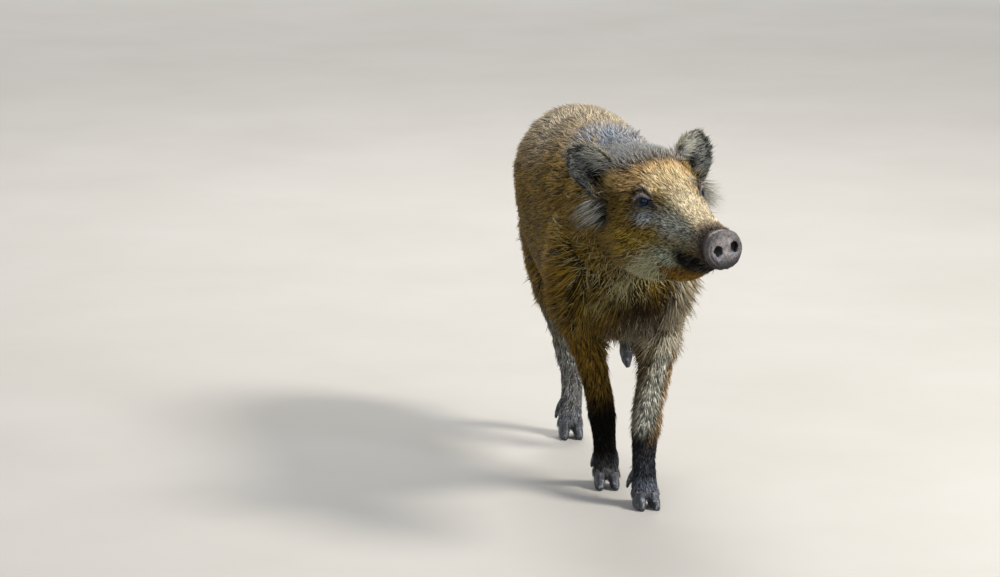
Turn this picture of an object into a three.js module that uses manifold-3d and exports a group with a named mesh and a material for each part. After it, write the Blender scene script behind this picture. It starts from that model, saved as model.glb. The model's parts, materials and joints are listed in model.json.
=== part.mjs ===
// A young wild boar at life size, in the middle of a step. It stands on both forelegs and the right
// hind leg, the left hind leg is lifted high and bent, and the head is turned to the boar's left.
// Millimetres, +Z up. The boar faces -Y, its left side is +X, and the floor is Z = 0.
// Every outline runs out to the tips of the coat. The body is shaped whole, from rings along curved
// spines, and then parted with thin flat cuts into the pieces that a person would name.

import * as THREE from "three";
import { mergeVertices } from "three/addons/utils/BufferGeometryUtils.js";
import Module from "manifold-3d";

// --- Driving dimensions -------------------------------------------------------------------------

const BACK_HEIGHT = 475; // the highest point of the back, over the shoulders
const BELLY_HEIGHT = 199; // the lowest point of the chest, between the forelegs
const CHEST_WIDE = 90; // half the width of the rib cage
const CHEST_FRONT = -222; // the foremost point of the breast
const RUMP_END = 268; // the rearmost point of the body
const CUT_GAP = 0.3; // space between two neighbouring pieces

const HEAD_JOINT = [-11, -228, 405]; // where the skull meets the neck
const HEAD_YAW = 15.7; // degrees to the boar's left
const HEAD_PITCH = -0.9;
const HEAD_ROLL = -2.4;

const EYE_RADIUS = 10;
const EYE_PLACES = { left: [34, -121.5, 21.5], right: [-38, -120, 21] }; // in the head's own frame

const EAR_LENGTH = 62;
const EAR_WIDE = 27; // half the width at the broadest place
const EAR_THICK = 5; // at the root, skin and hair together
const EAR_ROOT = [54, -47, 34]; // in the head's own frame, on the left side
const EAR_REACH = [0.61, 0.26, 0.75]; // from the root to the tip
const EAR_FACING = [0.115, -0.965, 0.24]; // out of the hollow of the ear

const EAR_CUT_TILT = 55; // the cut at an ear's root lies along the side of the head
const EAR_CUT_OUT = 9;
const EAR_CUT_UP = 11; // the cut's middle lies higher than the root, clear of the hair below the ear

const NOSE_WIDE = 26; // half the width of the snout's disc
const NOSE_FRONT = -256; // the disc's face, in the head's own frame
const NOSTRIL_PLACES = [[-9.5, -23.5], [12, -20.5]]; // across and up, on the disc's face
const NOSTRIL_DEPTH = 9;
const NOSE_DEEP = 13; // how far back the disc's pad reaches from its face

const HOOF_TOP = 20; // height of the hair's edge above the main claws
const CLAW_WIDE = 8; // half the width of one main claw
const CLAW_LONG = 42;
const HAIR_EDGE_TILT = 10; // the hair's edge sinks towards the heel by this many degrees

const CUT_BOX = 400; // sizes of the boxes that part the body: over the legs, the ears and the feet
const EAR_BOX = [80, 90, 100];
const FOOT_BOX = [120, 120, 100];

// --- Solids ---------------------------------------------------------------------------------------

const wasm = await Module();
wasm.setup();

// A closed geometry as a solid that can be joined and cut.
function toSolid(geometry) {
  const bare = geometry.clone();
  bare.deleteAttribute("normal");
  bare.deleteAttribute("uv");
  const merged = mergeVertices(bare, 1e-4);
  return new wasm.Manifold(
    new wasm.Mesh({
      numProp: 3,
      vertProperties: merged.attributes.position.array,
      triVerts: new Uint32Array(merged.index.array),
    }),
  );
}

// A solid as a flat-shaded geometry.
function toGeometry(solid) {
  const mesh = solid.getMesh();
  const geometry = new THREE.BufferGeometry();
  geometry.setAttribute("position", new THREE.BufferAttribute(mesh.vertProperties, 3));
  geometry.setIndex(new THREE.BufferAttribute(mesh.triVerts, 1));
  const faceted = geometry.toNonIndexed();
  faceted.computeVertexNormals();
  return faceted;
}

// Joins solids into one.
const joined = (...solids) => solids.reduce((whole, piece) => whole.add(piece));

// A turned box, as a solid. Turns are in degrees about X, Y and Z.
function block(centre, size, turn = [0, 0, 0], frame = new THREE.Matrix4()) {
  const radians = turn.map(THREE.MathUtils.degToRad);
  const own = new THREE.Matrix4().makeRotationFromEuler(new THREE.Euler(...radians));
  own.setPosition(...centre);
  const box = new THREE.BoxGeometry(...size).applyMatrix4(own).applyMatrix4(frame);
  return toSolid(box);
}

// Takes the piece inside a turned box out of a body. Returns the piece and what is left.
function part(body, centre, size, turn, frame) {
  const piece = body.intersect(block(centre, size, turn, frame));
  const wider = size.map((side) => side + 2 * CUT_GAP);
  return [piece, body.subtract(block(centre, wider, turn, frame))];
}

// An egg-shaped swelling, such as a muscle, as a solid.
function swelling(centre, radii, turn = [0, 0, 0], frame = new THREE.Matrix4()) {
  const radians = turn.map(THREE.MathUtils.degToRad);
  const own = new THREE.Matrix4().makeRotationFromEuler(new THREE.Euler(...radians));
  own.scale(new THREE.Vector3(...radii)).setPosition(...centre);
  const egg = new THREE.SphereGeometry(1, 10, 7).applyMatrix4(own).applyMatrix4(frame);
  return toSolid(egg);
}

// --- Rings and lofts ------------------------------------------------------------------------------

const UPRIGHT = { across: [1, 0, 0], up: [0, 0, 1], along: [0, -1, 0] }; // rings of trunk and head
const LEVEL = { across: [1, 0, 0], up: [0, -1, 0], along: [0, 0, -1] }; // rings of a limb

// A closed skin over rings of equal count, with a pole at each end.
function skinOver(rings, startPole, endPole) {
  const sides = rings[0].length;
  const points = [startPole, ...rings.flat(), endPole];
  const last = points.length - 1;
  const faces = [];
  for (let k = 0; k < sides; k++) {
    const next = (k + 1) % sides;
    faces.push(0, 1 + next, 1 + k);
    for (let r = 0; r < rings.length - 1; r++) {
      const here = 1 + r * sides;
      const there = here + sides;
      faces.push(here + k, here + next, there + next);
      faces.push(here + k, there + next, there + k);
    }
    const end = last - sides;
    faces.push(last, end + k, end + next);
  }
  const geometry = new THREE.BufferGeometry().setFromPoints(points);
  geometry.setIndex(faces);
  return geometry;
}

// A geometry with its faces turned outwards, as a solid.
function outward(geometry) {
  const solid = toSolid(geometry);
  if (solid.volume() > 0) return solid;
  const index = geometry.index.array;
  for (let i = 0; i < index.length; i += 3) {
    [index[i + 1], index[i + 2]] = [index[i + 2], index[i + 1]];
  }
  return toSolid(geometry);
}

// A body round a curved spine. A station is [x, y, z, across, up, down]: the middle of a ring and its
// half sizes. On a limb, up and down are fore and aft. A dome of the given length closes each end,
// and a dome of 0 closes it flat. Squareness 2 gives ellipses, and more gives fuller corners.
function loft(stations, axes, options) {
  const { sides, steps, domes = [0, 0], domeRings = 2, squareness = 2, frame } = options;
  const spine = new THREE.CatmullRomCurve3(stations.map((s) => new THREE.Vector3(s[0], s[1], s[2])));
  const sizes = new THREE.CatmullRomCurve3(stations.map((s) => new THREE.Vector3(s[3], s[4], s[5])));
  const across = new THREE.Vector3(...axes.across);
  const up = new THREE.Vector3(...axes.up);
  const along = new THREE.Vector3(...axes.along);
  const bulge = (value) => Math.sign(value) * Math.abs(value) ** (2 / squareness);

  const ring = (middle, size, shrink) =>
    Array.from({ length: sides }, (_, k) => {
      const angle = (2 * Math.PI * (k + 0.5)) / sides;
      const side = bulge(Math.cos(angle)) * size.x * shrink;
      const rise = bulge(Math.sin(angle)) * (Math.sin(angle) > 0 ? size.y : size.z) * shrink;
      return middle.clone().addScaledVector(across, side).addScaledVector(up, rise);
    });

  const rings = [];
  for (let i = 0; i <= steps; i++) {
    rings.push(ring(spine.getPoint(i / steps), sizes.getPoint(i / steps), 1));
  }
  const poles = [0, 1].map((end) => {
    const middle = spine.getPoint(end);
    const size = sizes.getPoint(end);
    const reach = domes[end] * (end ? 1 : -1);
    for (let r = 1; reach && r <= domeRings; r++) {
      const angle = (Math.PI / 2) * (r / (domeRings + 1));
      const place = middle.clone().addScaledVector(along, reach * Math.sin(angle));
      const domeRing = ring(place, size, Math.cos(angle));
      if (end) rings.push(domeRing);
      else rings.unshift(domeRing);
    }
    return middle.clone().addScaledVector(along, reach);
  });
  const geometry = skinOver(rings, poles[0], poles[1]);
  return outward(frame ? geometry.applyMatrix4(frame) : geometry);
}

// --- The head's frame -----------------------------------------------------------------------------

function headMatrix() {
  const turn = new THREE.Matrix4();
  const step = new THREE.Matrix4();
  turn.makeRotationZ(THREE.MathUtils.degToRad(HEAD_YAW));
  turn.multiply(step.makeRotationX(THREE.MathUtils.degToRad(HEAD_PITCH)));
  turn.multiply(step.makeRotationY(THREE.MathUtils.degToRad(HEAD_ROLL)));
  return turn.setPosition(...HEAD_JOINT);
}
const HEAD = headMatrix();

// --- Trunk, neck and tail ---------------------------------------------------------------------------

// One ring of the trunk, from the heights of its top and bottom. It is widest at the middle height.
function trunkRing(y, top, bottom, wide, middle = (top + bottom) / 2) {
  return [0, y, middle, wide, top - middle, middle - bottom];
}

function trunkSolid() {
  const back = BACK_HEIGHT;
  const belly = BELLY_HEIGHT;
  const wide = CHEST_WIDE;
  const stations = [
    trunkRing(CHEST_FRONT + 16, back - 90, belly + 62, 0.6 * wide),
    trunkRing(-178, back - 38, belly + 26, 0.84 * wide),
    trunkRing(-120, back - 3, belly + 1, 0.96 * wide, 335),
    trunkRing(-45, back - 1, belly, wide, 338),
    trunkRing(40, back - 1, belly + 2, wide, 342),
    trunkRing(115, back, belly + 15, 0.99 * wide, 362),
    trunkRing(180, back - 9, belly + 39, 0.96 * wide, 370),
    trunkRing(RUMP_END - 36, back - 39, belly + 69, 0.74 * wide, 360),
    trunkRing(RUMP_END - 12, back - 73, belly + 106, 0.44 * wide, 358),
  ];
  const barrel = loft(stations, { ...UPRIGHT, along: [0, 1, 0] }, {
    sides: 20,
    steps: 10,
    domes: [16, 12],
    squareness: 2.05,
  });
  const shoulders = [-1, 1].map((side) =>
    swelling([side * 63, -136, 300], [34, 66, 94], [14, 0, side * -6]),
  );
  const hams = [-1, 1].map((side) =>
    swelling([side * 41, 172, 304], [35, 78, 96], [-14, 0, side * 6]),
  );
  const bentShank = swelling([50, 110, 250], [25, 64, 31], [-18, 0, 0]);
  return joined(barrel, ...shoulders, ...hams, bentShank);
}

function neckSolid() {
  const stations = [
    [0, -104, 350, 77, 118, 108],
    [-3, -160, 370, 77, 103, 104],
    [-8, -215, 392, 70, 84, 88],
    [-4, -262, 408, 60, 66, 70],
  ];
  const axes = { ...UPRIGHT, along: [0, -1, 0] };
  return loft(stations, axes, { sides: 18, steps: 5, domes: [34, 14] });
}

// The tail hangs down behind, with a small tuft at its end.
function tailSolid() {
  const stations = [
    [0, RUMP_END - 34, 410, 12, 14, 14],
    [0, RUMP_END - 4, 398, 11, 12, 12],
    [1, RUMP_END + 14, 366, 8.5, 8.5, 8.5],
    [3, RUMP_END + 16, 318, 7, 7, 7],
    [6, RUMP_END + 14, 280, 8.5, 7.5, 7.5],
    [8, RUMP_END + 13, 252, 5, 4, 4],
  ];
  return loft(stations, LEVEL, { sides: 8, steps: 10, domes: [6, 10] });
}

// --- Head -----------------------------------------------------------------------------------------

// Rings of the head in its own frame: y, middle height, half width, up and down.
const HEAD_RINGS = [
  [20, 8, 52, 52, 70],
  [-15, 10, 60, 60, 86],
  [-45, 12, 63, 60, 96],
  [-80, 10, 60, 54, 96],
  [-110, 4, 53, 49, 89],
  [-140, -4, 43, 42, 78],
  [-170, -11, 34, 35, 64],
  [-200, -17, 28, 28, 45],
  [-225, -20, 25, 24, 32],
  [-240, -22, 23.5, 22.5, 25],
];

function skullSolid() {
  const stations = HEAD_RINGS.map(([y, z, wide, up, down]) => [0, y, z, wide, up, down]);
  return loft(stations, UPRIGHT, {
    sides: 18,
    steps: 12,
    domes: [26, 8],
    squareness: 2.2,
    frame: HEAD,
  });
}

// The disc of the snout: a short, firm pad with a rounded rim and two nostrils.
function noseSolid() {
  const wide = NOSE_WIDE;
  const stations = [
    [0, NOSE_FRONT + NOSE_DEEP, -23, wide - 1.8, 23.5, 24.5],
    [0, NOSE_FRONT + 9, -23, wide - 1, 23.5, 25],
    [0, NOSE_FRONT + 5, -23, wide, 24.5, 25.5],
    [0, NOSE_FRONT + 1, -23, wide - 2.5, 22, 23],
    [0, NOSE_FRONT, -23, wide - 5, 19.5, 20.5],
  ];
  const disc = loft(stations, UPRIGHT, { sides: 20, steps: 4, squareness: 2.3, frame: HEAD });
  const nostrils = NOSTRIL_PLACES.map(([across, up]) => {
    const pit = [
      [across, NOSE_FRONT - 2, up, 4.4, 5.4, 5.4],
      [across, NOSE_FRONT + 2, up, 4, 5, 5],
      [across * 1.2, NOSE_FRONT + NOSTRIL_DEPTH, up + 1, 2, 2.5, 2.5],
    ];
    return loft(pit, { ...UPRIGHT, along: [0, 1, 0] }, { sides: 8, steps: 3, frame: HEAD });
  });
  return disc.subtract(joined(...nostrils));
}

// What rounds the head out: the cheeks, the brows and the long tufts of hair below the ears.
function headSwellings() {
  const solids = [-1, 1].flatMap((side) => [
    swelling([side * 33, -64, -24], [31, 50, 46], [0, 0, side * 8], HEAD),
    swelling([side * 31, -106, 34], [15, 26, 12], [8, side * 24, side * 12], HEAD),
    swelling([side * 70, -50, -1], [37, 12, 17], [0, side * 14, side * 4], HEAD),
  ]);
  return joined(...solids);
}

// An ear is a thick leaf, hollowed along its length and rolled up towards its root.
function earSolid(side) {
  const mirror = ([x, y, z]) => new THREE.Vector3(side * x, y, z);
  const root = mirror(EAR_ROOT);
  const reach = mirror(EAR_REACH).normalize();
  const facing = mirror(EAR_FACING).normalize();
  const wide = new THREE.Vector3().crossVectors(reach, facing).normalize();
  facing.crossVectors(wide, reach).normalize();

  const LENGTH_STEPS = 8;
  const WIDTH_STEPS = 6;
  const leafWidth = (t) => EAR_WIDE * (1.05 + 0.1 * t - 0.2 * t * t) * Math.sqrt(1 - Math.max(t, 0) ** 3);
  const leafPoint = (t, s, lift) => {
    const roll = THREE.MathUtils.lerp(1.1, 0.42, t);
    const half = leafWidth(t);
    const angle = s * roll;
    const radius = half / roll;
    return root
      .clone()
      .addScaledVector(reach, t * EAR_LENGTH)
      .addScaledVector(wide, (radius + lift) * Math.sin(angle))
      .addScaledVector(facing, radius * (1 - Math.cos(angle)) - lift * Math.cos(angle));
  };
  const rings = [];
  for (let i = 0; i <= LENGTH_STEPS; i++) {
    const t = -0.4 + (1.38 * i) / LENGTH_STEPS;
    const thick = EAR_THICK * (1 - 0.4 * Math.max(t, 0));
    const ring = [];
    for (let k = 0; k <= WIDTH_STEPS; k++) {
      ring.push(leafPoint(t, -1 + (2 * k) / WIDTH_STEPS, 0));
    }
    for (let k = WIDTH_STEPS; k >= 0; k--) {
      ring.push(leafPoint(t, -1 + (2 * k) / WIDTH_STEPS, thick));
    }
    rings.push(ring);
  }
  const middleOf = (ring) =>
    ring.reduce((sum, point) => sum.add(point), new THREE.Vector3()).divideScalar(ring.length);
  const tip = middleOf(rings.at(-1)).addScaledVector(reach, 2);
  return outward(skinOver(rings, middleOf(rings[0]), tip).applyMatrix4(HEAD));
}

function eyeSolid(place, radius) {
  const ball = new THREE.SphereGeometry(radius, 12, 8);
  ball.translate(...place);
  return toSolid(ball.applyMatrix4(HEAD));
}

// The hollow that the eye sits in, open to the side of the head.
function socketSolid([x, y, z]) {
  const side = Math.sign(x);
  return swelling([x + side * 12, y - 4, z], [10, 14.5, 10.5], [0, 0, side * 22], HEAD);
}

// --- Legs -------------------------------------------------------------------------------------------

// A leg's stations are [x, y, z, half width, fore, aft], from the body down to the hair's edge above
// the claws. The foot is the middle of the sole, turned by toe to the boar's left and by pitch down
// at the tip. The knee (or hock) and the fetlock are the heights of the cuts across the leg. The root
// is where the leg parts from the body: a range along Y, and a cut that rises outwards by its tilt
// from its height at the midline.
const LEGS = {
  foreleg_left: {
    side: 1,
    foot: [18.5, -212, 0],
    toe: 4,
    pitch: 0,
    knee: 101,
    fetlock: 50,
    root: { from: -250, to: -60, height: 182, tilt: 32 },
    stations: [
      [58, -130, 290, 34, 40, 44],
      [57, -128, 250, 31, 36, 40],
      [53, -134, 214, 27, 29, 33],
      [45, -149, 172, 23, 23, 25],
      [31, -170, 132, 20, 20, 21],
      [24, -186, 101, 19, 19.5, 20],
      [20, -195, 72, 16, 15, 16],
      [18.5, -200, 50, 15.5, 15, 16],
      [18.5, -202, 37, 17, 16, 18],
      [18.5, -208, 20, 17.5, 16, 17],
    ],
  },
  foreleg_right: {
    side: -1,
    foot: [-10, -100, 0],
    toe: -6,
    pitch: 0,
    knee: 104,
    fetlock: 50,
    root: { from: -190, to: -40, height: 182, tilt: 32 },
    stations: [
      [-58, -128, 290, 34, 42, 44],
      [-54, -121, 250, 31, 36, 40],
      [-46, -114, 214, 27, 30, 33],
      [-33, -105, 172, 22, 23, 24],
      [-22, -103, 130, 19.5, 20, 20],
      [-18, -104, 104, 19, 20, 20],
      [-14, -99, 76, 16.5, 15, 16],
      [-11, -94, 50, 15.5, 15, 16],
      [-10, -92, 37, 17, 16, 18],
      [-10, -96, 20, 17.5, 16, 17],
    ],
  },
  hindleg_left: {
    side: 1,
    foot: [61, 85, 133],
    toe: 3,
    pitch: 32,
    knee: 213,
    fetlock: 182,
    root: { from: 56, to: 225, height: 176, tilt: 45 },
    stations: [
      [48, 140, 262, 24, 36, 26],
      [50, 144, 240, 19, 28, 22],
      [52, 132, 222, 15.5, 23, 22],
      [55, 109, 207, 14, 21, 21],
      [58, 88, 194, 14.5, 20, 20],
      [60.5, 75, 181, 15.5, 17, 18],
      [61, 73, 169, 16.5, 15, 16],
      [61, 76, 155, 17, 15, 16],
      [61, 82, 141, 17, 15, 15],
    ],
  },
  hindleg_right: {
    side: -1,
    foot: [-3, 185, 0],
    toe: -4,
    pitch: 0,
    knee: 110,
    fetlock: 50,
    root: { from: 110, to: 260, height: 182, tilt: 32 },
    stations: [
      [-43, 182, 300, 35, 60, 50],
      [-41, 180, 256, 29, 52, 46],
      [-35, 184, 222, 25, 40, 37],
      [-25, 192, 184, 21, 28, 28],
      [-13, 203, 150, 18, 20, 23],
      [-5, 211, 122, 17.5, 17, 21],
      [1, 208, 96, 15.5, 15, 17],
      [2, 200, 62, 15, 14, 16],
      [-1, 195, 38, 16, 15, 18],
      [-3, 190, 20, 17, 15, 16],
    ],
  },
};

function legSolid(leg) {
  return loft(leg.stations, LEVEL, { sides: 10, steps: 13, domes: [30, 0], squareness: 2.2 });
}

// A main claw: a blunt wedge that stands on a small flat, split from its twin by a narrow cleft.
function clawSolid(half) {
  const across = half * (CLAW_WIDE + 0.9);
  const stations = [
    [across - half * 0.5, -1, HOOF_TOP + 6, CLAW_WIDE - 0.5, 14, 15],
    [across - half * 0.3, -1, HOOF_TOP - 4, CLAW_WIDE - 0.1, 16.5, 16],
    [across + half * 0.5, -2.5, 10, CLAW_WIDE - 0.4, CLAW_LONG / 2 - 1, 19],
    [across + half * 1.4, -4, 3, CLAW_WIDE - 1.2, CLAW_LONG / 2 + 2, 20],
    [across + half * 1.5, -4, 0, CLAW_WIDE - 2.4, CLAW_LONG / 2 - 0.5, 18.5],
  ];
  return loft(stations, LEVEL, { sides: 8, steps: 3, squareness: 2.4 });
}

// A dewclaw: a small blunt cone behind the fetlock that points down and out.
function dewclawSolid(half, grow) {
  const stations = [
    [half * 8, 10, 52, 6 + grow, 7 + grow, 6 + grow],
    [half * 12, 16, 42, 6 + grow, 6.5 + grow, 6 + grow],
    [half * 15, 22, 31, 5 + grow, 5 + grow, 5 + grow],
    [half * 17, 26, 22, 3 + grow, 3 + grow, 3 + grow],
  ];
  return loft(stations, LEVEL, { sides: 5, steps: 3, domes: [3 + grow, 3 + grow], domeRings: 1 });
}

// --- Joining the body and parting it ----------------------------------------------------------------

// The space under the hair's edge of a foot, which the claws stand in.
const BELOW_HAIR = [[0, 0, HOOF_TOP - FOOT_BOX[2] / 2], FOOT_BOX, [-HAIR_EDGE_TILT, 0, 0]];

// A foot's own frame, with the middle of its sole at the origin and its toes along -Y.
function footMatrix(leg) {
  const turn = new THREE.Matrix4().makeRotationZ(THREE.MathUtils.degToRad(leg.toe));
  turn.multiply(new THREE.Matrix4().makeRotationX(THREE.MathUtils.degToRad(leg.pitch)));
  return turn.setPosition(...leg.foot);
}

// The space that a leg parts from the body in: under a plane that rises outwards from the midline.
function legSpace({ side, root }, grow) {
  const tilt = THREE.MathUtils.degToRad(root.tilt);
  const middle = [0, (root.from + root.to) / 2, root.height];
  const down = new THREE.Vector3(side * Math.sin(tilt), 0, -Math.cos(tilt));
  const centre = down.multiplyScalar(CUT_BOX / 2).add(new THREE.Vector3(...middle));
  const size = [2 * CUT_BOX, root.to - root.from, CUT_BOX].map((length) => length + 2 * grow);
  return block(centre.toArray(), size, [0, -side * root.tilt, 0]);
}

// The part of a limb below a level cut across it, and the rest of the limb.
function partBelow(limb, height) {
  return part(limb, [0, 0, height - CUT_BOX], [2 * CUT_BOX, 2 * CUT_BOX, 2 * CUT_BOX]);
}

function moved(solid, matrix) {
  return toSolid(toGeometry(solid).applyMatrix4(matrix));
}

const pieces = {}; // node name to solid, in the model's own frame
const sides = { left: 1, right: -1 };

const trunk = trunkSolid();
let body = joined(trunk, neckSolid(), tailSolid(), skullSolid(), headSwellings());
for (const leg of Object.values(LEGS)) body = body.add(legSolid(leg));
for (const [name, side] of Object.entries(sides)) {
  const place = EYE_PLACES[name];
  body = body.subtract(joined(socketSolid(place), eyeSolid(place, EYE_RADIUS + CUT_GAP)));
  body = body.add(earSolid(side));
  pieces["eye_" + name] = eyeSolid(place, EYE_RADIUS);
}

// The disc of the snout takes the place of the muzzle's end.
const NOSE_BOX = [120, 60, 120];
const noseBoxMiddle = [0, NOSE_FRONT + NOSE_DEEP + CUT_GAP - NOSE_BOX[1] / 2, -20];
body = body.subtract(block(noseBoxMiddle, NOSE_BOX, [0, 0, 0], HEAD));
pieces.nose_disc = noseSolid();

for (const [name, leg] of Object.entries(LEGS)) {
  const frame = footMatrix(leg);
  let limb = joined(trunk, legSolid(leg)).intersect(legSpace(leg, 0));
  body = body.subtract(legSpace(leg, CUT_GAP));
  for (const [digit, half] of [["inner", -leg.side], ["outer", leg.side]]) {
    limb = limb.subtract(moved(dewclawSolid(half, CUT_GAP), frame));
    pieces[name + "_dewclaw_" + digit] = moved(dewclawSolid(half, 0), frame);
    pieces[name + "_hoof_" + digit] = moved(clawSolid(half).intersect(block(...BELOW_HAIR)), frame);
  }
  [, limb] = part(limb, ...BELOW_HAIR, frame);
  [pieces[name + "_foot"], limb] = partBelow(limb, leg.fetlock);
  [pieces[name + "_lower"], pieces[name + "_upper"]] = partBelow(limb, leg.knee);
}

[pieces.tail, body] = part(body, [0, RUMP_END + 51, 320], [80, 100, 200], [0, 0, 0]);

for (const [name, side] of Object.entries(sides)) {
  const tilt = THREE.MathUtils.degToRad(EAR_CUT_TILT);
  const outwards = new THREE.Vector3(side * Math.sin(tilt), 0, Math.cos(tilt));
  const root = new THREE.Vector3(side * EAR_ROOT[0], EAR_ROOT[1], EAR_ROOT[2]);
  const upwards = new THREE.Vector3(-side * Math.cos(tilt), 0, Math.sin(tilt));
  root.addScaledVector(outwards, EAR_CUT_OUT + EAR_BOX[2] / 2).addScaledVector(upwards, EAR_CUT_UP);
  [pieces["ear_" + name], body] = part(body, root.toArray(), EAR_BOX, [0, side * EAR_CUT_TILT, 0], HEAD);
}

[pieces.lower_jaw, body] = part(body, [0, -205, -84], [120, 130, 100], [3, 0, 0], HEAD);
[pieces.muzzle, body] = part(body, [0, -200, 0], [160, 110, 200], [0, 0, 0], HEAD);
[pieces.head, body] = part(body, [0, -140, 30], [300, 280, 270], [-8, 0, 0], HEAD);
[pieces.neck, pieces.trunk] = part(body, [0, -310, 500], [300, 260, 400], [-12, 0, 0]);

// --- Materials --------------------------------------------------------------------------------------

const paint = (color, roughness) => new THREE.MeshStandardMaterial({ color, roughness, metalness: 0 });
const MATERIALS = {
  coat: paint(0x8a6b3e, 0.9),
  face: paint(0xa07c48, 0.9),
  ear: paint(0x4a4540, 0.95),
  lower: paint(0x2e2722, 0.9),
  nose: paint(0x6d6a70, 0.7),
  hoof: paint(0x3c3c40, 0.6),
  eye: paint(0x0c0d14, 0.15),
};

function materialOf(name) {
  if (name.includes("hoof") || name.includes("dewclaw")) return MATERIALS.hoof;
  if (name.startsWith("eye")) return MATERIALS.eye;
  if (name.startsWith("ear")) return MATERIALS.ear;
  if (name === "nose_disc") return MATERIALS.nose;
  if (name.endsWith("_lower") || name.endsWith("_foot")) return MATERIALS.lower;
  if (["head", "muzzle", "lower_jaw"].includes(name)) return MATERIALS.face;
  return MATERIALS.coat;
}

// --- The scene graph --------------------------------------------------------------------------------

const boar = new THREE.Group();
const headGroup = new THREE.Group();
HEAD.decompose(headGroup.position, headGroup.quaternion, headGroup.scale);
boar.add(headGroup);
const inHead = (name) => /^(head|muzzle|nose_disc|lower_jaw|ear_|eye_)/.test(name);

const legGroups = {};
for (const [name, leg] of Object.entries(LEGS)) {
  legGroups[name] = new THREE.Group();
  legGroups[name].position.set(...leg.foot);
  boar.add(legGroups[name]);
}
boar.updateMatrixWorld(true);

const bounds = new THREE.Box3();
for (const [name, solid] of Object.entries(pieces)) {
  const leg = Object.keys(LEGS).find((key) => name.startsWith(key));
  const home = leg ? legGroups[leg] : inHead(name) ? headGroup : boar;
  const geometry = toGeometry(solid);
  geometry.computeBoundingBox();
  bounds.union(geometry.boundingBox);
  geometry.applyMatrix4(home.matrixWorld.clone().invert());
  const mesh = new THREE.Mesh(geometry, materialOf(name));
  mesh.name = name;
  home.add(mesh);
}

// The origin lies on the floor, under the middle of the whole boar.
const middle = bounds.getCenter(new THREE.Vector3());
boar.position.set(-middle.x, -middle.y, 0);
const model = new THREE.Group();
model.add(boar);

export default model;
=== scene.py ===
"""A young wild boar at life size, a still museum model: one skin, a coat of mesh tufts, eyes and hooves."""

import json
import math

import bmesh
import bpy
import numpy as np
import openvdb as vdb
from mathutils import Matrix, Vector, kdtree

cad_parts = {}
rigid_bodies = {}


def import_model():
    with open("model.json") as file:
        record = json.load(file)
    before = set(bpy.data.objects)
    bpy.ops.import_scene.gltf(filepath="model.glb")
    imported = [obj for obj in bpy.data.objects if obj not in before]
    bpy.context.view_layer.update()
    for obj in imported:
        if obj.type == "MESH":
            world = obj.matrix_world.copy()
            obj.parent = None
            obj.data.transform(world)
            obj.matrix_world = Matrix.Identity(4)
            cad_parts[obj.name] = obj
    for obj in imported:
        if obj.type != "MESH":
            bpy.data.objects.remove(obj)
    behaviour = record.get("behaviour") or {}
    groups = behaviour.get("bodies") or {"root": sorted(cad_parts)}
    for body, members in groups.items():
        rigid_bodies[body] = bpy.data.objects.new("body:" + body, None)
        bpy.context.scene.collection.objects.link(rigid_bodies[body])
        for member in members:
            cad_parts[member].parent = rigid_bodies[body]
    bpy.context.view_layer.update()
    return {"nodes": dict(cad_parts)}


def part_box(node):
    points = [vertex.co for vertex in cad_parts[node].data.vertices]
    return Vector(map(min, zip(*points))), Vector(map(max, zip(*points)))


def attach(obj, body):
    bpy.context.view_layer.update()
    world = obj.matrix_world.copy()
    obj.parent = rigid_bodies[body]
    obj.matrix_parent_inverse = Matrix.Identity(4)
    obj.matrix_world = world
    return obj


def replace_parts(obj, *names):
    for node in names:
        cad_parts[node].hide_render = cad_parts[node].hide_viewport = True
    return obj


for leftover in list(bpy.data.objects):
    bpy.data.objects.remove(leftover)
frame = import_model()
nodes = frame["nodes"]
rng = np.random.default_rng(20)

MM = 0.001

# The camera: its place in metres, its degrees round the model and above the floor, and its lens in mm.
CAMERA_AT = (-1.0644, -5.1681, 1.3374)
CAMERA_AZIMUTH = -10.0
CAMERA_ELEVATION = 11.5
CAMERA_LENS = 148.8
FLOOR_HALF = 20.0

# The head's own axes: x to its left, y backwards, z up, in mm from the joint with the neck.
HEAD_JOINT = np.array([-13.150, -133.676, 405.0])
HEAD_TURN = np.array(
    Matrix.Rotation(math.radians(15.7), 3, "Z")
    @ Matrix.Rotation(math.radians(-0.9), 3, "X")
    @ Matrix.Rotation(math.radians(-2.4), 3, "Y")
)

# The skin: the size of its grid, the gap that it closes, and how many triangles are kept. Then, in mm, the
# longest edges at the nose and mouth, those round the eyes, and how far round the eyes those reach.
VOXEL = 1.6 * MM
CLOSING = 0.4 * MM
SKIN_TRIANGLES = 150_000
FACE_EDGE = 1.1
LID_EDGE = 0.75
LID_REACH = 16.0

# The eyes, in mm. The lids' opening reaches this far from its middle to the temple, to the nose, up and
# down, and its middle lies this low on the eyeball.
EYE_RADIUS = 10.0
EYE_PLACES = {1: (34.0, -121.5, 21.5), -1: (-38.0, -120.0, 21.0)}
EYE_GAZE = (0.68, -0.71, 0.18)
LID_LONG = 9.0
LID_TO_NOSE = 18.0
LID_UP = 5.6
LID_DOWN = 5.7
LID_LOW = 0.65

# The left ear, in the head's axes: its root, the way to its tip, the way out of its hollow and across it.
EAR_ROOT = np.array([54.0, -47.0, 34.0])
EAR_REACH = np.array([0.61, 0.26, 0.75])
EAR_FACING = np.array([0.115, -0.965, 0.24])
EAR_ACROSS = np.array([0.786, -0.060, -0.619])

# The nostrils on the disc's face, across and up, in mm.
NOSTRILS = ((-9.5, -23.5), (12.0, -20.5))

# The coat: how many tufts of the even coat, how many of its locks, and how many in one piece at most.
TUFTS = 224_000
LOCKS = 30_000
TUFTS_A_PIECE = 32_000
# The width of a tuft's patch in the bake's map, and how far the coat may reach to either side, in metres.
TUFT_PATCH = 0.003
COAT_SIDE = 0.107
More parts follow.
